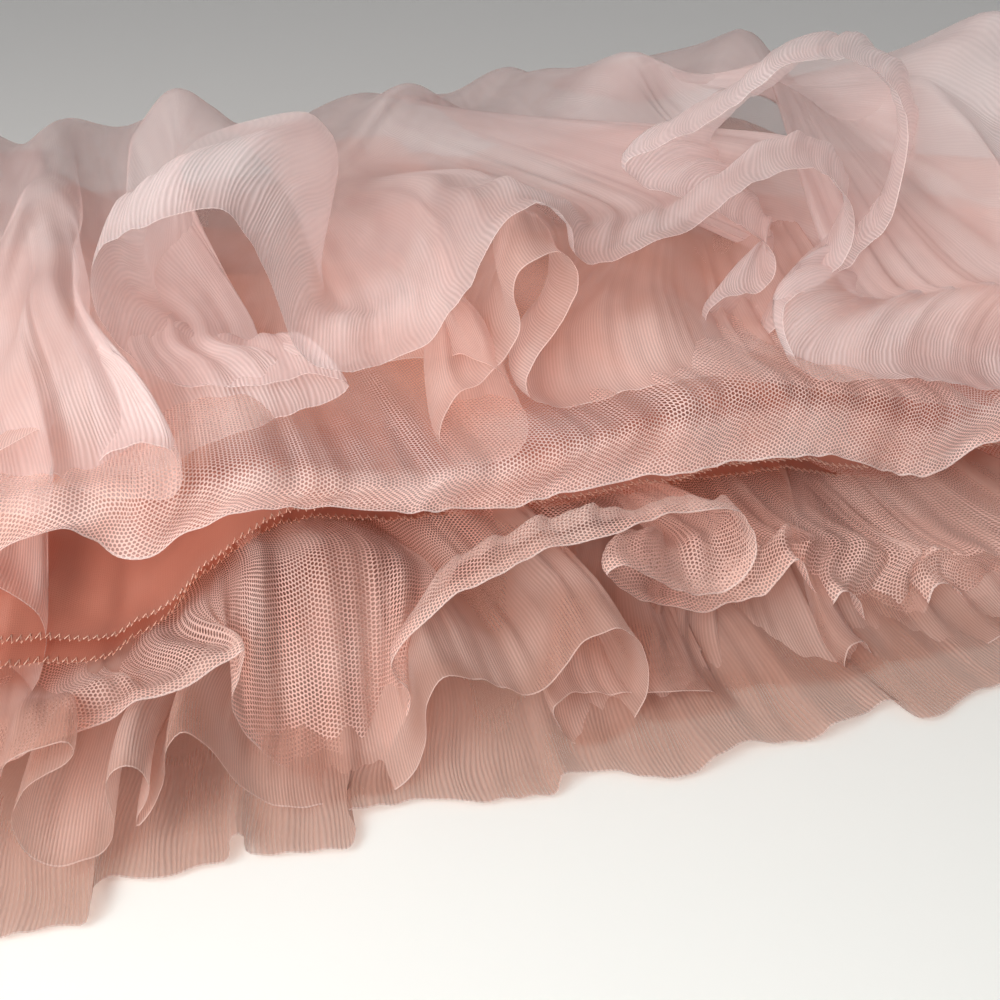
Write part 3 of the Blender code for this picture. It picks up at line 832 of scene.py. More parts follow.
# %% Lay the hems
# Spacing and height of the long creases that run up from each hem
HEM_CREASES = {
    "outer_back": (0.017, 0.0008),
    "second_back": (0.014, 0.0017),
    "net_back": (0.019, 0.0034),
    "lining_back": (0.030, 0.0010),
    "lining_front": (0.030, 0.0012),
    "net_front": (0.023, 0.0014),
    "second_front": (0.016, 0.0018),
    "outer_front": (0.019, 0.0018),
}
CREASE_TOP = 0.024
CREASE_END = 0.055
CREASE_LEAN = 0.6
SMALL_CREASE = (0.45, 0.4)
CURVE_COUNT = 4000
SOFTENING = 15
LEAST_STEP = 0.0001


def lay_hem(name):
    """A piled sheet whose hem, and bends above it, follow the guides of its panel."""
    points, down = piled[name]
    columns, length, read, guides = GUIDES[name]
    hem, marks, long = curve_through([read(*spot) for spot in guides[-1][1]], CURVE_COUNT)
    left, right = hem[0, 0], hem[-1, 0]
    share = (points[:, -1, 0] - left) / (right - left)
    seen = (share > 0) & (share < 1)
    step = np.linalg.norm(np.diff(points[:, -1], axis=0), axis=-1)
    step = np.where(seen[1:] & seen[:-1], np.diff(share) * long, step)
    weight = np.concatenate(([0], np.cumsum(np.maximum(step, LEAST_STEP))))
    at = np.interp(np.linspace(0, weight[-1], columns), weight, np.arange(len(points)))
    points = between_columns(points, at)
    share = (points[:, -1, 0] - left) / (right - left)
    fade = (ease(share / GUIDE_FADE) * ease((1 - share) / GUIDE_FADE))[:, None]
    points = points + fade[..., None] * (softened(points) - points)
    share = np.clip(share, 0, 1)
    above_hem = down[-1] - down
    amount = np.zeros_like(points)
    reached, moved = length, 0.0
    for above, spots in guides:
        if len(spots[0]) == 4:
            places = np.array([read(*spot[1:]) for spot in spots])
            at = marks[[spot[0] for spot in spots]]
            target = softened(np.stack([np.interp(share, at, places[:, k]) for k in range(3)], axis=1))
            begin = 1.0 if at[0] == 0 else ease((share - at[0]) / LOCAL_FADE)
            within = begin * (1.0 if at[-1] == 1 else ease((at[-1] - share) / LOCAL_FADE))
        else:
            within = np.ones_like(share)
            curve = curve_through([read(*spot) for spot in spots], CURVE_COUNT)[0]
            at = np.linspace(0, 1, CURVE_COUNT)
            target = np.stack([np.interp(share, at, curve[:, k]) for k in range(3)], axis=1)
        if above == 0:
            target[:, 2] += CRIMP[0] * (1 + uneven(share * long, CRIMP[1], 1.0))
            target[:, 1] += SWAY[0] * uneven(share * long, SWAY[1], 2.0)
        row = int(np.argmin(np.abs(above_hem - above)))
        move = (target - points[:, row]) * fade * np.broadcast_to(within, share.shape)[:, None]
        weight = ease((reached - above_hem) / (reached - above_hem[row]))
        amount = amount + weight[None, :, None] * (move - moved)[:, None]
        reached, moved = above_hem[row], move
    spacing, height = HEM_CREASES[name]
    crease = uneven(share * long, spacing, 3.0)
    crease = crease + SMALL_CREASE[1] * uneven(share * long, SMALL_CREASE[0] * spacing, 5.0)
    rows = ease(above_hem / CREASE_TOP) * (1 - ease((above_hem - CREASE_TOP) / CREASE_END))
    crease = height * crease[:, None] * rows[None, :] * fade
    amount[..., 2] += crease
    amount[..., 1] -= CREASE_LEAN * crease
    return points + amount + np.array(waist)


sheets = {}
for name, (points, down) in piled.items():
    sheets[name] = lay_hem(name)
    print(name, sheets[name].shape[:2], "hem laid")

# %% [markdown]
# ## From places to a sheet
# A sheet of cloth starts as a flat grid primitive, and its points are then moved to their places.
# Its UV map is in metres: U runs along the hem and V from the hem up, both measured over the
# cloth itself. So a net or a crinkle keeps its real size wherever the cloth rolls over.

# %% Make a sheet
def lengths_along(points, axis):
    """Distance over the cloth from the first row, along that axis."""
    step = np.linalg.norm(np.diff(points, axis=axis), axis=-1)
    start = np.zeros_like(np.take(step, [0], axis=axis))
    return np.cumsum(np.concatenate((start, step), axis=axis), axis=axis)


def make_sheet(name, points, facing_up=True):
    """A grid of cloth through the points, whose second axis runs from the hem to the waist."""
    columns, rows = points.shape[:2]
    bpy.ops.object.select_all(action="DESELECT")
    bpy.ops.mesh.primitive_grid_add(x_subdivisions=columns - 1, y_subdivisions=rows - 1, size=1)
    cloth = bpy.context.object
    cloth.name = name
    mesh = cloth.data
    mesh.name = name
    mesh.vertices.foreach_set("co", points.transpose(1, 0, 2).ravel())
    along = lengths_along(points, 0)[:, :1]
    up = lengths_along(points, 1)
    place = np.stack(np.broadcast_arrays(along - along.mean(), up), axis=-1)
    place = place.transpose(1, 0, 2).reshape(-1, 2)
    corner = np.zeros(len(mesh.loops), np.int32)
    mesh.loops.foreach_get("vertex_index", corner)
    mesh.uv_layers[0].name = "cloth"
    mesh.uv_layers[0].data.foreach_set("uv", place[corner].ravel())
    if not facing_up:
        mesh.flip_normals()
    mesh.shade_smooth()
    mesh.update()
    return cloth


def cloth_area(cloth):
    """Area of a mesh in square metres."""
    return sum(face.area for face in cloth.data.polygons)


# %% [markdown]
# ## Finishes that several cloths share
# Three effects come back in most of these cloths, so each is a node group. The open net is a sum
# of three waves at sixty degrees, which leaves round holes on a honeycomb of threads. The crinkle
# is a row of fine lines down the cloth, pushed about by noise. The hem is a thin line where the
# cloth is cut or turned, and it is denser and paler than the rest.

# %% Node groups
NET_LEVEL = (1.6, -1.4)
NET_SOFTNESS = 0.9
CRINKLE_NOISE = (150, 45, 1)
PATCH_SCALE = 28.0
LINE_EDGE = (1.2, 0.8)


def start_group(name, inputs, outputs):
    """A shader node group with float or vector inputs and float outputs."""
    group = bpy.data.node_groups.new(name, "ShaderNodeTree")
    for title, kind, value in inputs:
        socket = group.interface.new_socket(name=title, in_out="INPUT", socket_type=kind)
        if value is not None:
            socket.default_value = value
    for title in outputs:
        group.interface.new_socket(name=title, in_out="OUTPUT", socket_type="NodeSocketFloat")
    return group, group.nodes.new("NodeGroupInput"), group.nodes.new("NodeGroupOutput")


def net_group():
    """Open net: 1 on the threads and 0 in the holes."""
    group, given, result = start_group("open_net",
        (("Vector", "NodeSocketVector", None), ("Cell", "NodeSocketFloat", 0.00125),
            ("Thickness", "NodeSocketFloat", 0.5)), ("Thread",))
    turns = math_node(group, "DIVIDE", 4 * math.pi / math.sqrt(3), given.outputs["Cell"])
    total = None
    for degrees in (0, 60, 120):
        direction = (math.cos(math.radians(degrees)), math.sin(math.radians(degrees)), 0)
        dot = add_node(group, "ShaderNodeVectorMath", {1: direction}, operation="DOT_PRODUCT")
        group.links.new(given.outputs["Vector"], dot.inputs[0])
        wave = math_node(group, "COSINE", math_node(group, "MULTIPLY", dot.outputs["Value"], turns))
        total = wave if total is None else math_node(group, "ADD", total, wave)
    level = math_node(group, "MULTIPLY_ADD", given.outputs["Thickness"], *NET_LEVEL)
    over = math_node(group, "SUBTRACT", total, level)
    group.links.new(ramp_between(group, over, NET_SOFTNESS, 0.0), result.inputs[0])
    return group


def crinkle_group():
    """Crinkle: fine wandering lines down the cloth, from 0 in a groove to 1 on a ridge."""
    group, given, result = start_group("crinkle_lines",
        (("Vector", "NodeSocketVector", None), ("Pitch", "NodeSocketFloat", 0.0012),
            ("Wander", "NodeSocketFloat", 1.2)), ("Ridge", "Patch"))
    parts = add_node(group, "ShaderNodeSeparateXYZ")
    group.links.new(given.outputs["Vector"], parts.inputs[0])
    stretch = add_node(group, "ShaderNodeVectorMath", {1: CRINKLE_NOISE}, operation="MULTIPLY")
    group.links.new(given.outputs["Vector"], stretch.inputs[0])
    noise = add_node(group, "ShaderNodeTexNoise", {"Scale": 1.0, "Detail": 0.0}, noise_dimensions="2D")
    group.links.new(stretch.outputs[0], noise.inputs["Vector"])
    lines = math_node(group, "DIVIDE", parts.outputs["X"], given.outputs["Pitch"])
    push = math_node(group, "MULTIPLY", noise.outputs["Fac"], given.outputs["Wander"])
    turn = math_node(group, "MULTIPLY", math_node(group, "ADD", lines, push), 2 * math.pi)
    ridge = math_node(group, "MULTIPLY_ADD", math_node(group, "SINE", turn), 0.5, 0.5)
    group.links.new(ridge, result.inputs["Ridge"])
    patch = add_node(group, "ShaderNodeTexNoise", {"Scale": PATCH_SCALE, "Detail": 1.0},
        noise_dimensions="2D")
    group.links.new(given.outputs["Vector"], patch.inputs["Vector"])
    group.links.new(patch.outputs["Fac"], result.inputs["Patch"])
    return group


def hem_group():
    """Hem: 1 on the thin line along the cloth's lower edge."""
    group, given, result = start_group("hem_line",
        (("Vector", "NodeSocketVector", None), ("Width", "NodeSocketFloat", 0.0015)), ("Line",))
    parts = add_node(group, "ShaderNodeSeparateXYZ")
    group.links.new(given.outputs["Vector"], parts.inputs[0])
    share = math_node(group, "DIVIDE", parts.outputs["Y"], given.outputs["Width"])
    group.links.new(ramp_between(group, share, *LINE_EDGE), result.inputs[0])
    return group


open_net = net_group()
crinkle_lines = crinkle_group()
hem_line = hem_group()
print("groups", [group.name for group in bpy.data.node_groups])


def place_group(tree, group, vector, values=None):
    """A node that uses a group, fed by a vector."""
    node = tree.nodes.new("ShaderNodeGroup")
    node.node_tree = group
    tree.links.new(vector, node.inputs["Vector"])
    for key, value in (values or {}).items():
        node.inputs[key].default_value = value
    return node


def cloth_place(tree):
    """The place on the cloth in metres, from its own UV map."""
    return add_node(tree, "ShaderNodeUVMap", uv_map="cloth").outputs["UV"]


def let_light_by(tree, shader, output, colour, normal, through, density, plain):
    """Let light shine through the cloth, and make it as open as its density says.

    Light that only bounces about meets a plain version of the cloth, given as its colour, its
    cover and the tint of its shadow, so the fine patterns are worked out only where they show.
    """
    tint, cover, shadow = plain
    glow = tree.nodes.new("ShaderNodeBsdfTranslucent")
    tree.links.new(colour, glow.inputs["Color"])
    tree.links.new(normal, glow.inputs["Normal"])
    lit = add_node(tree, "ShaderNodeMixShader", {"Fac": through})
    tree.links.new(shader.outputs[0], lit.inputs[1])
    tree.links.new(glow.outputs[0], lit.inputs[2])
    clear = tree.nodes.new("ShaderNodeBsdfTransparent")
    veil = tree.nodes.new("ShaderNodeMixShader")
    tree.links.new(density, veil.inputs["Fac"])
    tree.links.new(clear.outputs[0], veil.inputs[1])
    tree.links.new(lit.outputs[0], veil.inputs[2])
    back = add_node(tree, "ShaderNodeBsdfDiffuse", {"Color": (*tint, 1)})
    forth = add_node(tree, "ShaderNodeBsdfTranslucent", {"Color": (*tint, 1)})
    bounced = add_node(tree, "ShaderNodeMixShader", {"Fac": through})
    tree.links.new(back.outputs[0], bounced.inputs[1])
    tree.links.new(forth.outputs[0], bounced.inputs[2])
    thin = add_node(tree, "ShaderNodeMixShader", {"Fac": cover})
    tree.links.new(clear.outputs[0], thin.inputs[1])
    tree.links.new(bounced.outputs[0], thin.inputs[2])
    shade = add_node(tree, "ShaderNodeBsdfTransparent", {"Color": (*shadow, 1)})
    ray = tree.nodes.new("ShaderNodeLightPath")
    unseen = tree.nodes.new("ShaderNodeMixShader")
    tree.links.new(ray.outputs["Is Shadow Ray"], unseen.inputs["Fac"])
    tree.links.new(thin.outputs[0], unseen.inputs[1])
    tree.links.new(shade.outputs[0], unseen.inputs[2])
    seen = tree.nodes.new("ShaderNodeMixShader")
    tree.links.new(ray.outputs["Is Camera Ray"], seen.inputs["Fac"])
    tree.links.new(unseen.outputs[0], seen.inputs[1])
    tree.links.new(veil.outputs[0], seen.inputs[2])
    tree.links.new(seen.outputs[0], output.inputs["Surface"])


# %% [markdown]
# ## Tulle
# Both tulles are so fine that their threads can't be told apart from where we stand, so they are
# a veil: part of the light goes straight through, part is scattered back, and part glows through
# to the other side. The crinkle shows as fine lines that are denser on their ridges, with a soft
# relief. A little sheen makes folds paler where they turn away, as fine threads do. High up the
# skirt the colour is deeper, which stands in for the shade between the gathers.

# %% Tulle finish
RIB_REACH = (0.010, 0.045)
SHADED_TOP = (0.060, 0.150)
TOP_SHADE = 0.66
TOP_SHARE = 0.85
PATCH_REACH = (0.3, 0.7)
TULLE_EDGE = 0.0005
TULLE_EDGE_COLOUR = (0.96, 0.90, 0.88)
TULLE_SURFACE = {
    "Roughness": 0.72, "Specular IOR Level": 0.25, "Sheen Weight": 0.35, "Sheen Roughness": 0.4,
    "Sheen Tint": (1.0, 0.93, 0.91, 1),
}


def tulle_material(name, pale, deep, pitch, wander, density, relief, through, plain):
    """A veil with crinkle lines; density is its share of cover in a groove and on a ridge."""
    material, tree, shader, output = new_material(name)
    place = cloth_place(tree)
    crinkle = place_group(tree, crinkle_lines, place, {"Pitch": pitch, "Wander": wander})
    hem = place_group(tree, hem_line, place, {"Width": TULLE_EDGE})
    patch = ramp_between(tree, crinkle.outputs["Patch"], *PATCH_REACH)
    colour = mix_colours(tree, patch, deep, pale)
    parts = add_node(tree, "ShaderNodeSeparateXYZ")
    tree.links.new(place, parts.inputs[0])
    high = ramp_between(tree, parts.outputs["Y"], *SHADED_TOP, 0.0, TOP_SHARE)
    colour = mix_colours(tree, high, colour, tuple(TOP_SHADE * value for value in deep))
    colour = mix_colours(tree, math_node(tree, "MULTIPLY", hem.outputs["Line"], 0.35), colour,
        TULLE_EDGE_COLOUR)
    tree.links.new(colour, shader.inputs["Base Color"])
    set_inputs(shader, TULLE_SURFACE)
    strong = ramp_between(tree, parts.outputs["Y"], *RIB_REACH, 1.0, 0.22)
    rib = math_node(tree, "MULTIPLY", crinkle.outputs["Ridge"], math_node(tree, "MULTIPLY", strong,
        math_node(tree, "MULTIPLY_ADD", patch, 0.8, 0.5)))
    bump = add_node(tree, "ShaderNodeBump", {"Strength": relief, "Distance": 0.0005})
    tree.links.new(rib, bump.inputs["Height"])
    tree.links.new(bump.outputs[0], shader.inputs["Normal"])
    cover = math_node(tree, "MULTIPLY_ADD", rib, density[1] - density[0], density[0])
    cover = math_node(tree, "MULTIPLY_ADD", math_node(tree, "SUBTRACT", patch, 0.5), 0.10, cover)
    cover = math_node(tree, "MAXIMUM", cover, math_node(tree, "MULTIPLY", hem.outputs["Line"], 0.80))
    let_light_by(tree, shader, output, colour, bump.outputs[0], through, cover, plain)
    return material


crinkle_tulle = tulle_material("crinkle_tulle_cloth", (0.94, 0.83, 0.82), (0.92, 0.75, 0.73),
    0.0013, 2.4, (0.47, 0.63), 0.45, 0.36, ((0.93, 0.77, 0.75), 0.55, (0.70, 0.62, 0.60)))
fine_tulle = tulle_material("fine_tulle_cloth", (0.91, 0.71, 0.66), (0.88, 0.62, 0.55),
    0.0009, 0.8, (0.38, 0.54), 0.3, 0.36, ((0.91, 0.70, 0.65), 0.5, (0.72, 0.61, 0.58)))
# The two under finishes are darker copies of the tulles: painted shade for the back panels, which lie
# low in the pile.
shaded_crinkle = tulle_material("under_crinkle_cloth", (0.56, 0.35, 0.29), (0.45, 0.24, 0.18),
    0.0013, 2.0, (0.52, 0.74), 0.5, 0.26, ((0.56, 0.34, 0.28), 0.65, (0.52, 0.40, 0.36)))
shaded_fine = tulle_material("under_fine_cloth", (0.82, 0.59, 0.52), (0.68, 0.42, 0.34),
    0.0009, 1.0, (0.42, 0.60), 0.35, 0.30, ((0.66, 0.42, 0.35), 0.55, (0.58, 0.44, 0.40)))
print("tulle finishes", crinkle_tulle.name, fine_tulle.name, shaded_crinkle.name, shaded_fine.name)

# %% [markdown]
# ## Open net
# The third layer is a net with cells of a little over a millimetre, large enough to be seen as a
# honeycomb. Its threads are the mask of the open net group. Threads are a little irregular in
# density, and the hem is turned once, which shows as a denser doubled band.

# %% Net finish
NET_CELL = 0.00125
NET_EDGE = 0.0007
NET_EDGE_COLOUR = (0.95, 0.84, 0.80)
NET_THROUGH = 0.28
NET_PLAIN = ((0.86, 0.64, 0.59), 0.45, (0.76, 0.64, 0.60))
SLOW_PATCHES = {"Pitch": 0.02, "Wander": 1.0}
NET_SURFACE = {
    "Roughness": 0.6, "Specular IOR Level": 0.3, "Sheen Weight": 0.3,
    "Sheen Tint": (1.0, 0.93, 0.91, 1),
}


def net_material(name, pale, deep, thickness, turn):
    """Threads of a net with clear holes; the cloth is double below the given turn of its hem."""
    material, tree, shader, output = new_material(name)
    place = cloth_place(tree)
    net = place_group(tree, open_net, place, {"Cell": NET_CELL, "Thickness": thickness})
    hem = place_group(tree, hem_line, place, {"Width": NET_EDGE})
    turned = place_group(tree, hem_line, place, {"Width": turn})
    crinkle = place_group(tree, crinkle_lines, place, SLOW_PATCHES)
    patch = ramp_between(tree, crinkle.outputs["Patch"], *PATCH_REACH)
    colour = mix_colours(tree, patch, deep, pale)
    colour = mix_colours(tree, math_node(tree, "MULTIPLY", hem.outputs["Line"], 0.5), colour,
        NET_EDGE_COLOUR)
    tree.links.new(colour, shader.inputs["Base Color"])
    set_inputs(shader, NET_SURFACE)
    bump = add_node(tree, "ShaderNodeBump", {"Strength": 0.5, "Distance": 0.0002})
    tree.links.new(net.outputs["Thread"], bump.inputs["Height"])
    tree.links.new(bump.outputs[0], shader.inputs["Normal"])
    cover = math_node(tree, "MULTIPLY_ADD", net.outputs["Thread"], 0.74, 0.06)
    cover = math_node(tree, "MULTIPLY_ADD", turned.outputs["Line"], 0.26, cover)
    cover = math_node(tree, "MULTIPLY_ADD", math_node(tree, "SUBTRACT", patch, 0.5), 0.08, cover)
    cover = math_node(tree, "MAXIMUM", cover, math_node(tree, "MULTIPLY", hem.outputs["Line"], 0.8))
    let_light_by(tree, shader, output, colour, bump.outputs[0], NET_THROUGH, cover, NET_PLAIN)
    return material


front_net = net_material("front_net_cloth", (0.93, 0.71, 0.66), (0.89, 0.60, 0.53), 0.46, 0.017)
# The back net's deeper colours are painted shade for its low place in the pile; its narrower turned hem
# is its own.
shaded_back_net = net_material("back_net_cloth", (0.87, 0.63, 0.56), (0.80, 0.51, 0.44), 0.5, 0.0045)
print("net finishes", front_net.name, shaded_back_net.name)

# %% [markdown]
# ## Lining, bodice and ribbon
# The lining is a plain woven peach cloth with a soft satin gleam. It isn't open, but it is thin
# enough to glow. Its weave is two rows of very fine lines at right angles, and it is tinted deeper
# towards its hem, which stands in for the shade there. The bodice is the same kind of cloth in
# pink, and the band and straps are a closely woven ribbon.

# %% Woven finishes
SHADED_HEM = (0.030, 0.075)
WEAVE_SHARE = 0.35
WOVEN_SHEEN = (1.0, 0.92, 0.86, 1)


def woven_material(name, pale, deep, pitch, rough, through, sheen, shadow, hem_tint=None):
    """A close weave in relief, with slow patches of a deeper colour and a tint towards its hem.

    Shadow is the tint of the light that comes through it.
    """
    material, tree, shader, output = new_material(name)
    place = cloth_place(tree)
    parts = add_node(tree, "ShaderNodeSeparateXYZ")
    tree.links.new(place, parts.inputs[0])
    waves = []
    for axis in ("X", "Y"):
        turn = math_node(tree, "MULTIPLY", parts.outputs[axis], 2 * math.pi / pitch)
        waves.append(math_node(tree, "MULTIPLY_ADD", math_node(tree, "SINE", turn), 0.5, 0.5))
    weave = math_node(tree, "MULTIPLY", *waves)
    crinkle = place_group(tree, crinkle_lines, place, SLOW_PATCHES)
    patch = ramp_between(tree, crinkle.outputs["Patch"], *PATCH_REACH)
    slow = math_node(tree, "MULTIPLY", patch, 1 - WEAVE_SHARE)
    shade = math_node(tree, "MULTIPLY_ADD", weave, WEAVE_SHARE, slow)
    colour = mix_colours(tree, shade, deep, pale)
    if hem_tint:
        above = ramp_between(tree, parts.outputs["Y"], *SHADED_HEM)
        colour = mix_colours(tree, above, hem_tint, colour)
    tree.links.new(colour, shader.inputs["Base Color"])
    set_inputs(shader, {"Roughness": rough, "Specular IOR Level": 0.35, "Sheen Weight": sheen,
        "Sheen Tint": WOVEN_SHEEN})
    bump = add_node(tree, "ShaderNodeBump", {"Strength": 0.35, "Distance": 0.00015})
    tree.links.new(weave, bump.inputs["Height"])
    tree.links.new(bump.outputs[0], shader.inputs["Normal"])
    glow = tree.nodes.new("ShaderNodeBsdfTranslucent")
    tree.links.new(colour, glow.inputs["Color"])
    lit = add_node(tree, "ShaderNodeMixShader", {"Fac": through})
    tree.links.new(shader.outputs[0], lit.inputs[1])
    tree.links.new(glow.outputs[0], lit.inputs[2])
    shade = add_node(tree, "ShaderNodeBsdfTransparent", {"Color": (*shadow, 1)})
    ray = tree.nodes.new("ShaderNodeLightPath")
    seen = tree.nodes.new("ShaderNodeMixShader")
    tree.links.new(ray.outputs["Is Shadow Ray"], seen.inputs["Fac"])
    tree.links.new(lit.outputs[0], seen.inputs[1])
    tree.links.new(shade.outputs[0], seen.inputs[2])
    tree.links.new(seen.outputs[0], output.inputs["Surface"])
    return material


peach_lining = woven_material("peach_lining", (0.97, 0.74, 0.60), (0.95, 0.64, 0.49),
    0.0006, 0.48, 0.34, 0.2, (0.80, 0.62, 0.54), (0.50, 0.19, 0.13))
pink_bodice = woven_material("pink_bodice", (0.88, 0.66, 0.62), (0.82, 0.56, 0.52),
    0.0007, 0.6, 0.12, 0.3, (0.12, 0.08, 0.07))
pink_ribbon = woven_material("pink_ribbon", (0.87, 0.63, 0.60), (0.80, 0.52, 0.49),
    0.0011, 0.42, 0.08, 0.2, (0.08, 0.05, 0.05))
print("woven finishes", peach_lining.name, pink_bodice.name, pink_ribbon.name)

# %% [markdown]
# ## The skirt
# Each panel becomes one sheet in its place. It stands for the solid of the same name. The panels
# of the front face up and those of the back face down. The back panels of tulle and net take
# darker copies of their finishes, which are painted shade for the layers low in the pile.

# %% Skirt panels
# For tulle and net, the second finish is for the back panels, a darker copy with painted shade.
FINISHES = {
    "outer": (crinkle_tulle, shaded_crinkle, "crinkle_tulle"),
    "second": (fine_tulle, shaded_fine, "fine_tulle"),
    "net": (front_net, shaded_back_net, "net"),
    "lining": (peach_lining, peach_lining, "lining"),
}
for name, points in sheets.items():
    layer, half = name.split("_")
    cloth = make_sheet(name + "_cloth", points[:, ::-1], facing_up=half == "front")
    upper, under, slot_name = FINISHES[layer]
    cloth.data.materials.append(upper if half == "front" else under)
    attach(cloth, "root")
    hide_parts(name)

# %% [markdown]
# ## Edges of the skirt
# A cut edge of tulle is left raw, and it shows as a hair-thin paler line. The lining's edge is
# overlocked: a zigzag of thread wraps it so that it can't fray. The overlock is real thread here,
# because it shows from close by. The paler line is in the tulle's own material.

# %% Threads
def make_thread(name, path, radius, sides=4):
    """A thin tube of thread along a list of places."""
    path = np.asarray(path)
    ahead = np.gradient(path, axis=0)
    ahead = ahead / np.linalg.norm(ahead, axis=1, keepdims=True)
    level = np.cross(ahead, (0.0, 0.0, 1.0))
    level = level / np.maximum(np.linalg.norm(level, axis=1, keepdims=True), 1e-9)
    upright = np.cross(level, ahead)
    turn = 2 * math.pi * np.arange(sides) / sides
    ring = np.cos(turn)[:, None, None] * level + np.sin(turn)[:, None, None] * upright
    corners = (path + radius * ring).transpose(1, 0, 2).reshape(-1, 3)
    start = np.arange(len(path) - 1)[:, None] * sides
    here = np.arange(sides)[None, :]
    after = (here + 1) % sides
    faces = np.stack((start + here, start + after, start + sides + after, start + sides + here), axis=-1)
    ends = [list(range(sides))[::-1], list(range(len(corners) - sides, len(corners)))]
    mesh = bpy.data.meshes.new(name)
    mesh.from_pydata(corners.tolist(), [], faces.reshape(-1, 4).tolist() + ends)
    mesh.shade_smooth()
    thread = bpy.data.objects.new(name, mesh)
    bpy.context.collection.objects.link(thread)
    return thread


OVERLOCK_WIDTH = 0.0017
OVERLOCK_STITCH = 0.0012
OVERLOCK_PAST = 0.0004
OVERLOCK_LIFT = 0.0003


def overlock_path(points, width, stitch):
    """A zigzag over the hem: out past the edge and back, stitch by stitch."""
    edge = points[:, -1]
    inner = points[:, -2]
    inward = inner - edge
    inward = inward / np.linalg.norm(inward, axis=1, keepdims=True)
    far = lengths_along(edge[:, None], 0)[:, 0]
    at = np.arange(0, far[-1], stitch / 2)
    spots = np.stack([np.interp(at, far, edge[:, k]) for k in range(3)], axis=1)
    ways = np.stack([np.interp(at, far, inward[:, k]) for k in range(3)], axis=1)
    swing = np.where(np.arange(len(at)) % 2 == 0, -OVERLOCK_PAST, width)
    lift = np.array((0, 0, OVERLOCK_LIFT)) * np.where(np.arange(len(at)) % 4 < 2, 1, -1)[:, None]
    return spots + ways * swing[:, None] + lift


# %% Thread finish
TWIST_SCALE = 1400.0


def thread_material(name, pale, deep):
    """Twisted polyester thread: a soft gleam and a fine twist in relief."""
    material, tree, shader, output = new_material(name)
    place = add_node(tree, "ShaderNodeTexCoord").outputs["Object"]
    noise = add_node(tree, "ShaderNodeTexNoise", {"Scale": TWIST_SCALE, "Detail": 2.0})
    tree.links.new(place, noise.inputs["Vector"])
    tree.links.new(mix_colours(tree, noise.outputs["Fac"], deep, pale), shader.inputs["Base Color"])
    set_inputs(shader, {"Roughness": 0.45, "Sheen Weight": 0.2})
    bump = add_node(tree, "ShaderNodeBump", {"Strength": 0.4, "Distance": 0.0001})
    tree.links.new(noise.outputs["Fac"], bump.inputs["Height"])
    tree.links.new(bump.outputs[0], shader.inputs["Normal"])
    return material


peach_thread = thread_material("peach_thread", (0.88, 0.57, 0.44), (0.78, 0.43, 0.32))
THREAD_RADIUS = 0.00018

for name in ("lining_back", "lining_front"):
    path = overlock_path(sheets[name], OVERLOCK_WIDTH, OVERLOCK_STITCH)
    thread = make_thread(name + "_overlock", path, THREAD_RADIUS)
    thread.data.materials.append(peach_thread)
    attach(thread, "root")
    print(thread.name, "stitches", len(path) // 2)

# %% [markdown]
# ## Bodice, waistband and straps
# The photograph hides them behind the skirt, so they are plain: two flat panels with a scooped
# neck, a ribbon band over the gathers, and two ribbon straps folded flat at the shoulders. Flat
# cloth is never quite flat, so the panels carry a few shallow wrinkles. Solidify gives each its
# thickness, because their edges can be seen from above.

# %% Sizes of the bodice
BODICE_HALF_WIDTHS = (0.137, 0.136, 0.138, 0.146, 0.152, 0.138, 0.112)
BODICE_ROWS = (0.0, 0.14, 0.25, 0.45, 0.65, 0.82, 1.0)
NECK_DEPTH = 0.165
STRAP_TOP = 0.212
STRAP_SPOT = 0.75
STRAP_FLAT = 0.125
STRAP_SPREAD = 0.2
BODICE_CROWN = 0.006
BAND_REACH = (SEAM, 0.025)
BAND_HALF_WIDTH = 0.1405
GATHER_HEIGHT = 0.0014
STRAP_WIDTH = 0.024
STRAP_PATH = (
    (STRAP_TOP + 2 * SEAM, 0.0018), (0.235, 0.0023), (0.248, 0.0036), (0.2535, 0.0037),
    (0.2550, 0.0021), (0.2535, 0.0005), (0.242, 0.0005), (STRAP_TOP + 2 * SEAM, 0.0005),
)
BODICE_GRID = (121, 97)
WRINKLE = 0.0009
BAND_GRID = (181, 15)
BAND_TURN = 0.004
BAND_RIPPLE = (0.0003, 0.017)
STRAP_GRID = (9, 81)
UPPER_WALL = 0.0009


def smooth_through(marks, values, at):
    """A smooth curve through marked values, read at other places."""
    marks, values = np.asarray(marks), np.asarray(values)
    slope = np.gradient(values, marks)
    index = np.clip(np.searchsorted(marks, at, side="right") - 1, 0, len(marks) - 2)
    step = marks[index + 1] - marks[index]
    share = np.clip((at - marks[index]) / step, 0, 1)
    cubic = share ** 3 - 2 * share ** 2 + share
    closing = share ** 3 - share ** 2
    blend = share * share * (3 - 2 * share)
    return (values[index] * (1 - blend) + values[index + 1] * blend
        + step * (cubic * slope[index] + closing * slope[index + 1]))


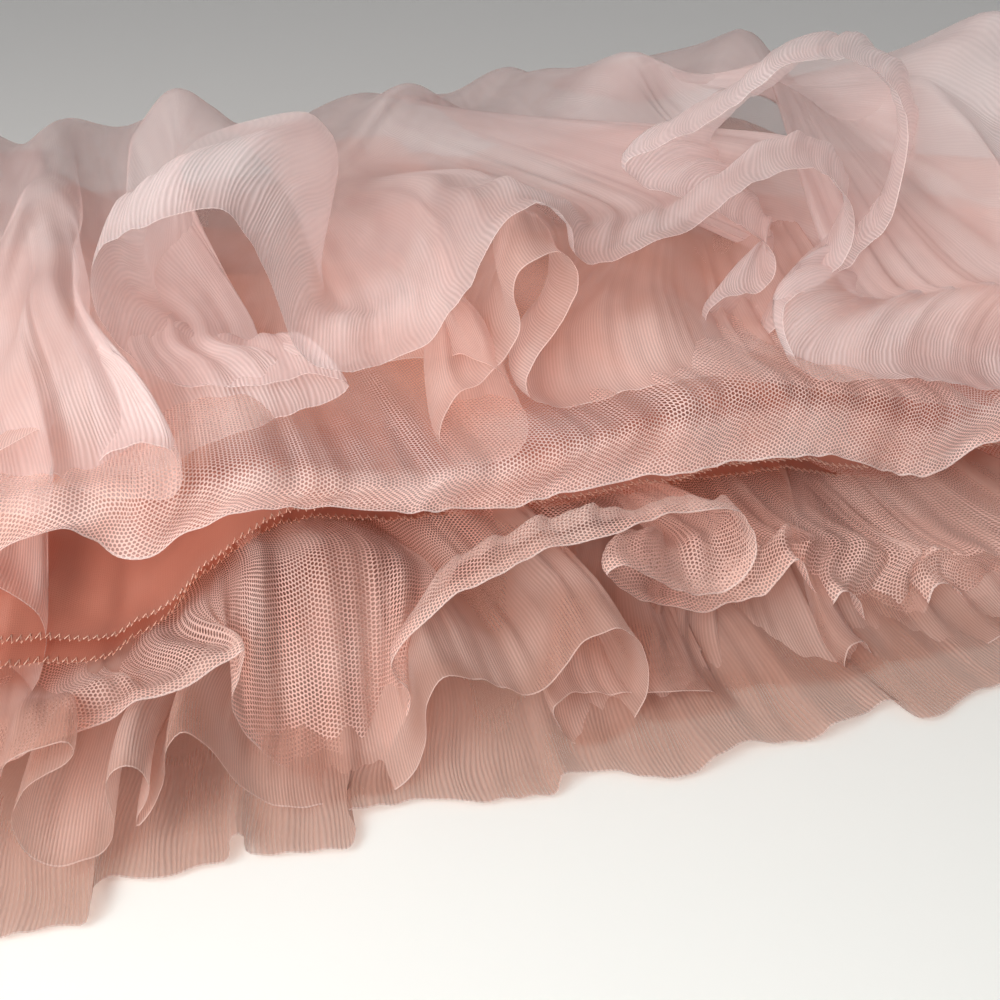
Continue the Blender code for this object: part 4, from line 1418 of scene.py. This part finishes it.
def bodice_points(front):
    """One flat bodice panel: straight at the waist, scooped at the neck, softly wrinkled."""
    side = np.linspace(-1, 1, BODICE_GRID[0])
    share = np.linspace(0, 1, BODICE_GRID[1])
    lift = ease(1 + (STRAP_FLAT - np.abs(np.abs(side) - STRAP_SPOT)) / STRAP_SPREAD)
    top = NECK_DEPTH + (STRAP_TOP - NECK_DEPTH) * lift
    across = np.outer(side, smooth_through(BODICE_ROWS, BODICE_HALF_WIDTHS, share))
    up = SEAM + np.outer(top, share)
    near_waist = 1 - ease((up - BAND_REACH[1] - SEAM) / BAND_REACH[1])
    height = CLOTH / 2 + near_waist * (waist_height(0) - CLOTH / 2)
    if front:
        free = np.clip((up - BAND_REACH[1]) / (top[:, None] - BAND_REACH[1]), 0, 1)
        crown = BODICE_CROWN * fullness(side)[:, None] * np.sin(math.pi * free)
        opened = waist_height(len(PANELS) - 1) - waist_height(0) - CLOTH - SEAM
        row = uneven(across * 0.8 + up * 0.45, 0.042, 2.0)
        row = row + 0.6 * uneven(up - across * 0.3, 0.055, 5.0)
        wrinkle = WRINKLE * (1.6 + row) * np.sin(math.pi * free) * fullness(side)[:, None]
        height = height + CLOTH + SEAM + crown + wrinkle + near_waist * opened
    return np.stack((across, up, height), axis=-1) + np.array(waist)


def band_points(front):
    """Half of the waistband: over or under the gathers, turned at its ends to meet the other."""
    top = waist_height(len(PANELS) - 1) + GATHER_HEIGHT + CLOTH + SEAM
    middle = (CLOTH / 2 + top) / 2
    level = top if front else CLOTH / 2
    meet = middle + (CLOTH + SEAM) / 2 * (1 if front else -1)
    across = np.linspace(-BAND_HALF_WIDTH, BAND_HALF_WIDTH, BAND_GRID[0])
    turned = ease((np.abs(across) - BAND_HALF_WIDTH + BAND_TURN) / BAND_TURN)
    up = np.linspace(*BAND_REACH, BAND_GRID[1])
    across, up = np.meshgrid(across, up, indexing="ij")
    height = np.broadcast_to(level + (meet - level) * turned[:, None], across.shape)
    if front:
        ripple = BAND_RIPPLE[0] * uneven(across, BAND_RIPPLE[1], 3.0)
        height = height + ripple * np.sin(math.pi * (up - up.min()) / BAND_REACH[1])
    return np.stack((across, up, height), axis=-1) + np.array(waist)


def strap_points(side):
    """A ribbon from the front panel's top edge, folded at the shoulder, to the back panel's."""
    middle = side * STRAP_SPOT * BODICE_HALF_WIDTHS[-1]
    across = middle + np.linspace(-STRAP_WIDTH / 2, STRAP_WIDTH / 2, STRAP_GRID[0])
    path = np.array(STRAP_PATH)
    far = np.concatenate(([0], np.cumsum(np.linalg.norm(np.diff(path, axis=0), axis=1))))
    at = np.linspace(0, far[-1], STRAP_GRID[1])
    up, height = (smooth_through(far, path[:, k], at) for k in range(2))
    height = np.maximum(height, path[:, 1].min())
    places = np.broadcast_arrays(across[:, None], up, height)
    return np.stack(places, axis=-1) + np.array(waist)


# %% Upper pieces
def thicken(cloth, thickness):
    """Give a sheet its thickness about its middle."""
    bpy.ops.object.select_all(action="DESELECT")
    cloth.select_set(True)
    bpy.context.view_layer.objects.active = cloth
    solidify = cloth.modifiers.new("thickness", "SOLIDIFY")
    solidify.thickness = thickness
    solidify.offset = 0
    bpy.ops.object.modifier_apply(modifier=solidify.name)


def add_upper(node, points, finish, facing_up=True):
    """A closed cloth piece above the waist, in place of the solid of the same name."""
    cloth = make_sheet(node + "_cloth", points, facing_up)
    thicken(cloth, UPPER_WALL)
    cloth.data.materials.append(finish)
    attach(cloth, "root")
    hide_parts(node)
    print(node, "area", round(cloth_area(cloth) / 2, 4))


for half, front in (("back", False), ("front", True)):
    add_upper("bodice_" + half, bodice_points(front), pink_bodice, facing_up=front)
    add_upper("waistband_" + half, band_points(front), pink_ribbon, facing_up=front)
for half, side in (("left", 1), ("right", -1)):
    add_upper("strap_" + half, strap_points(side), pink_ribbon)
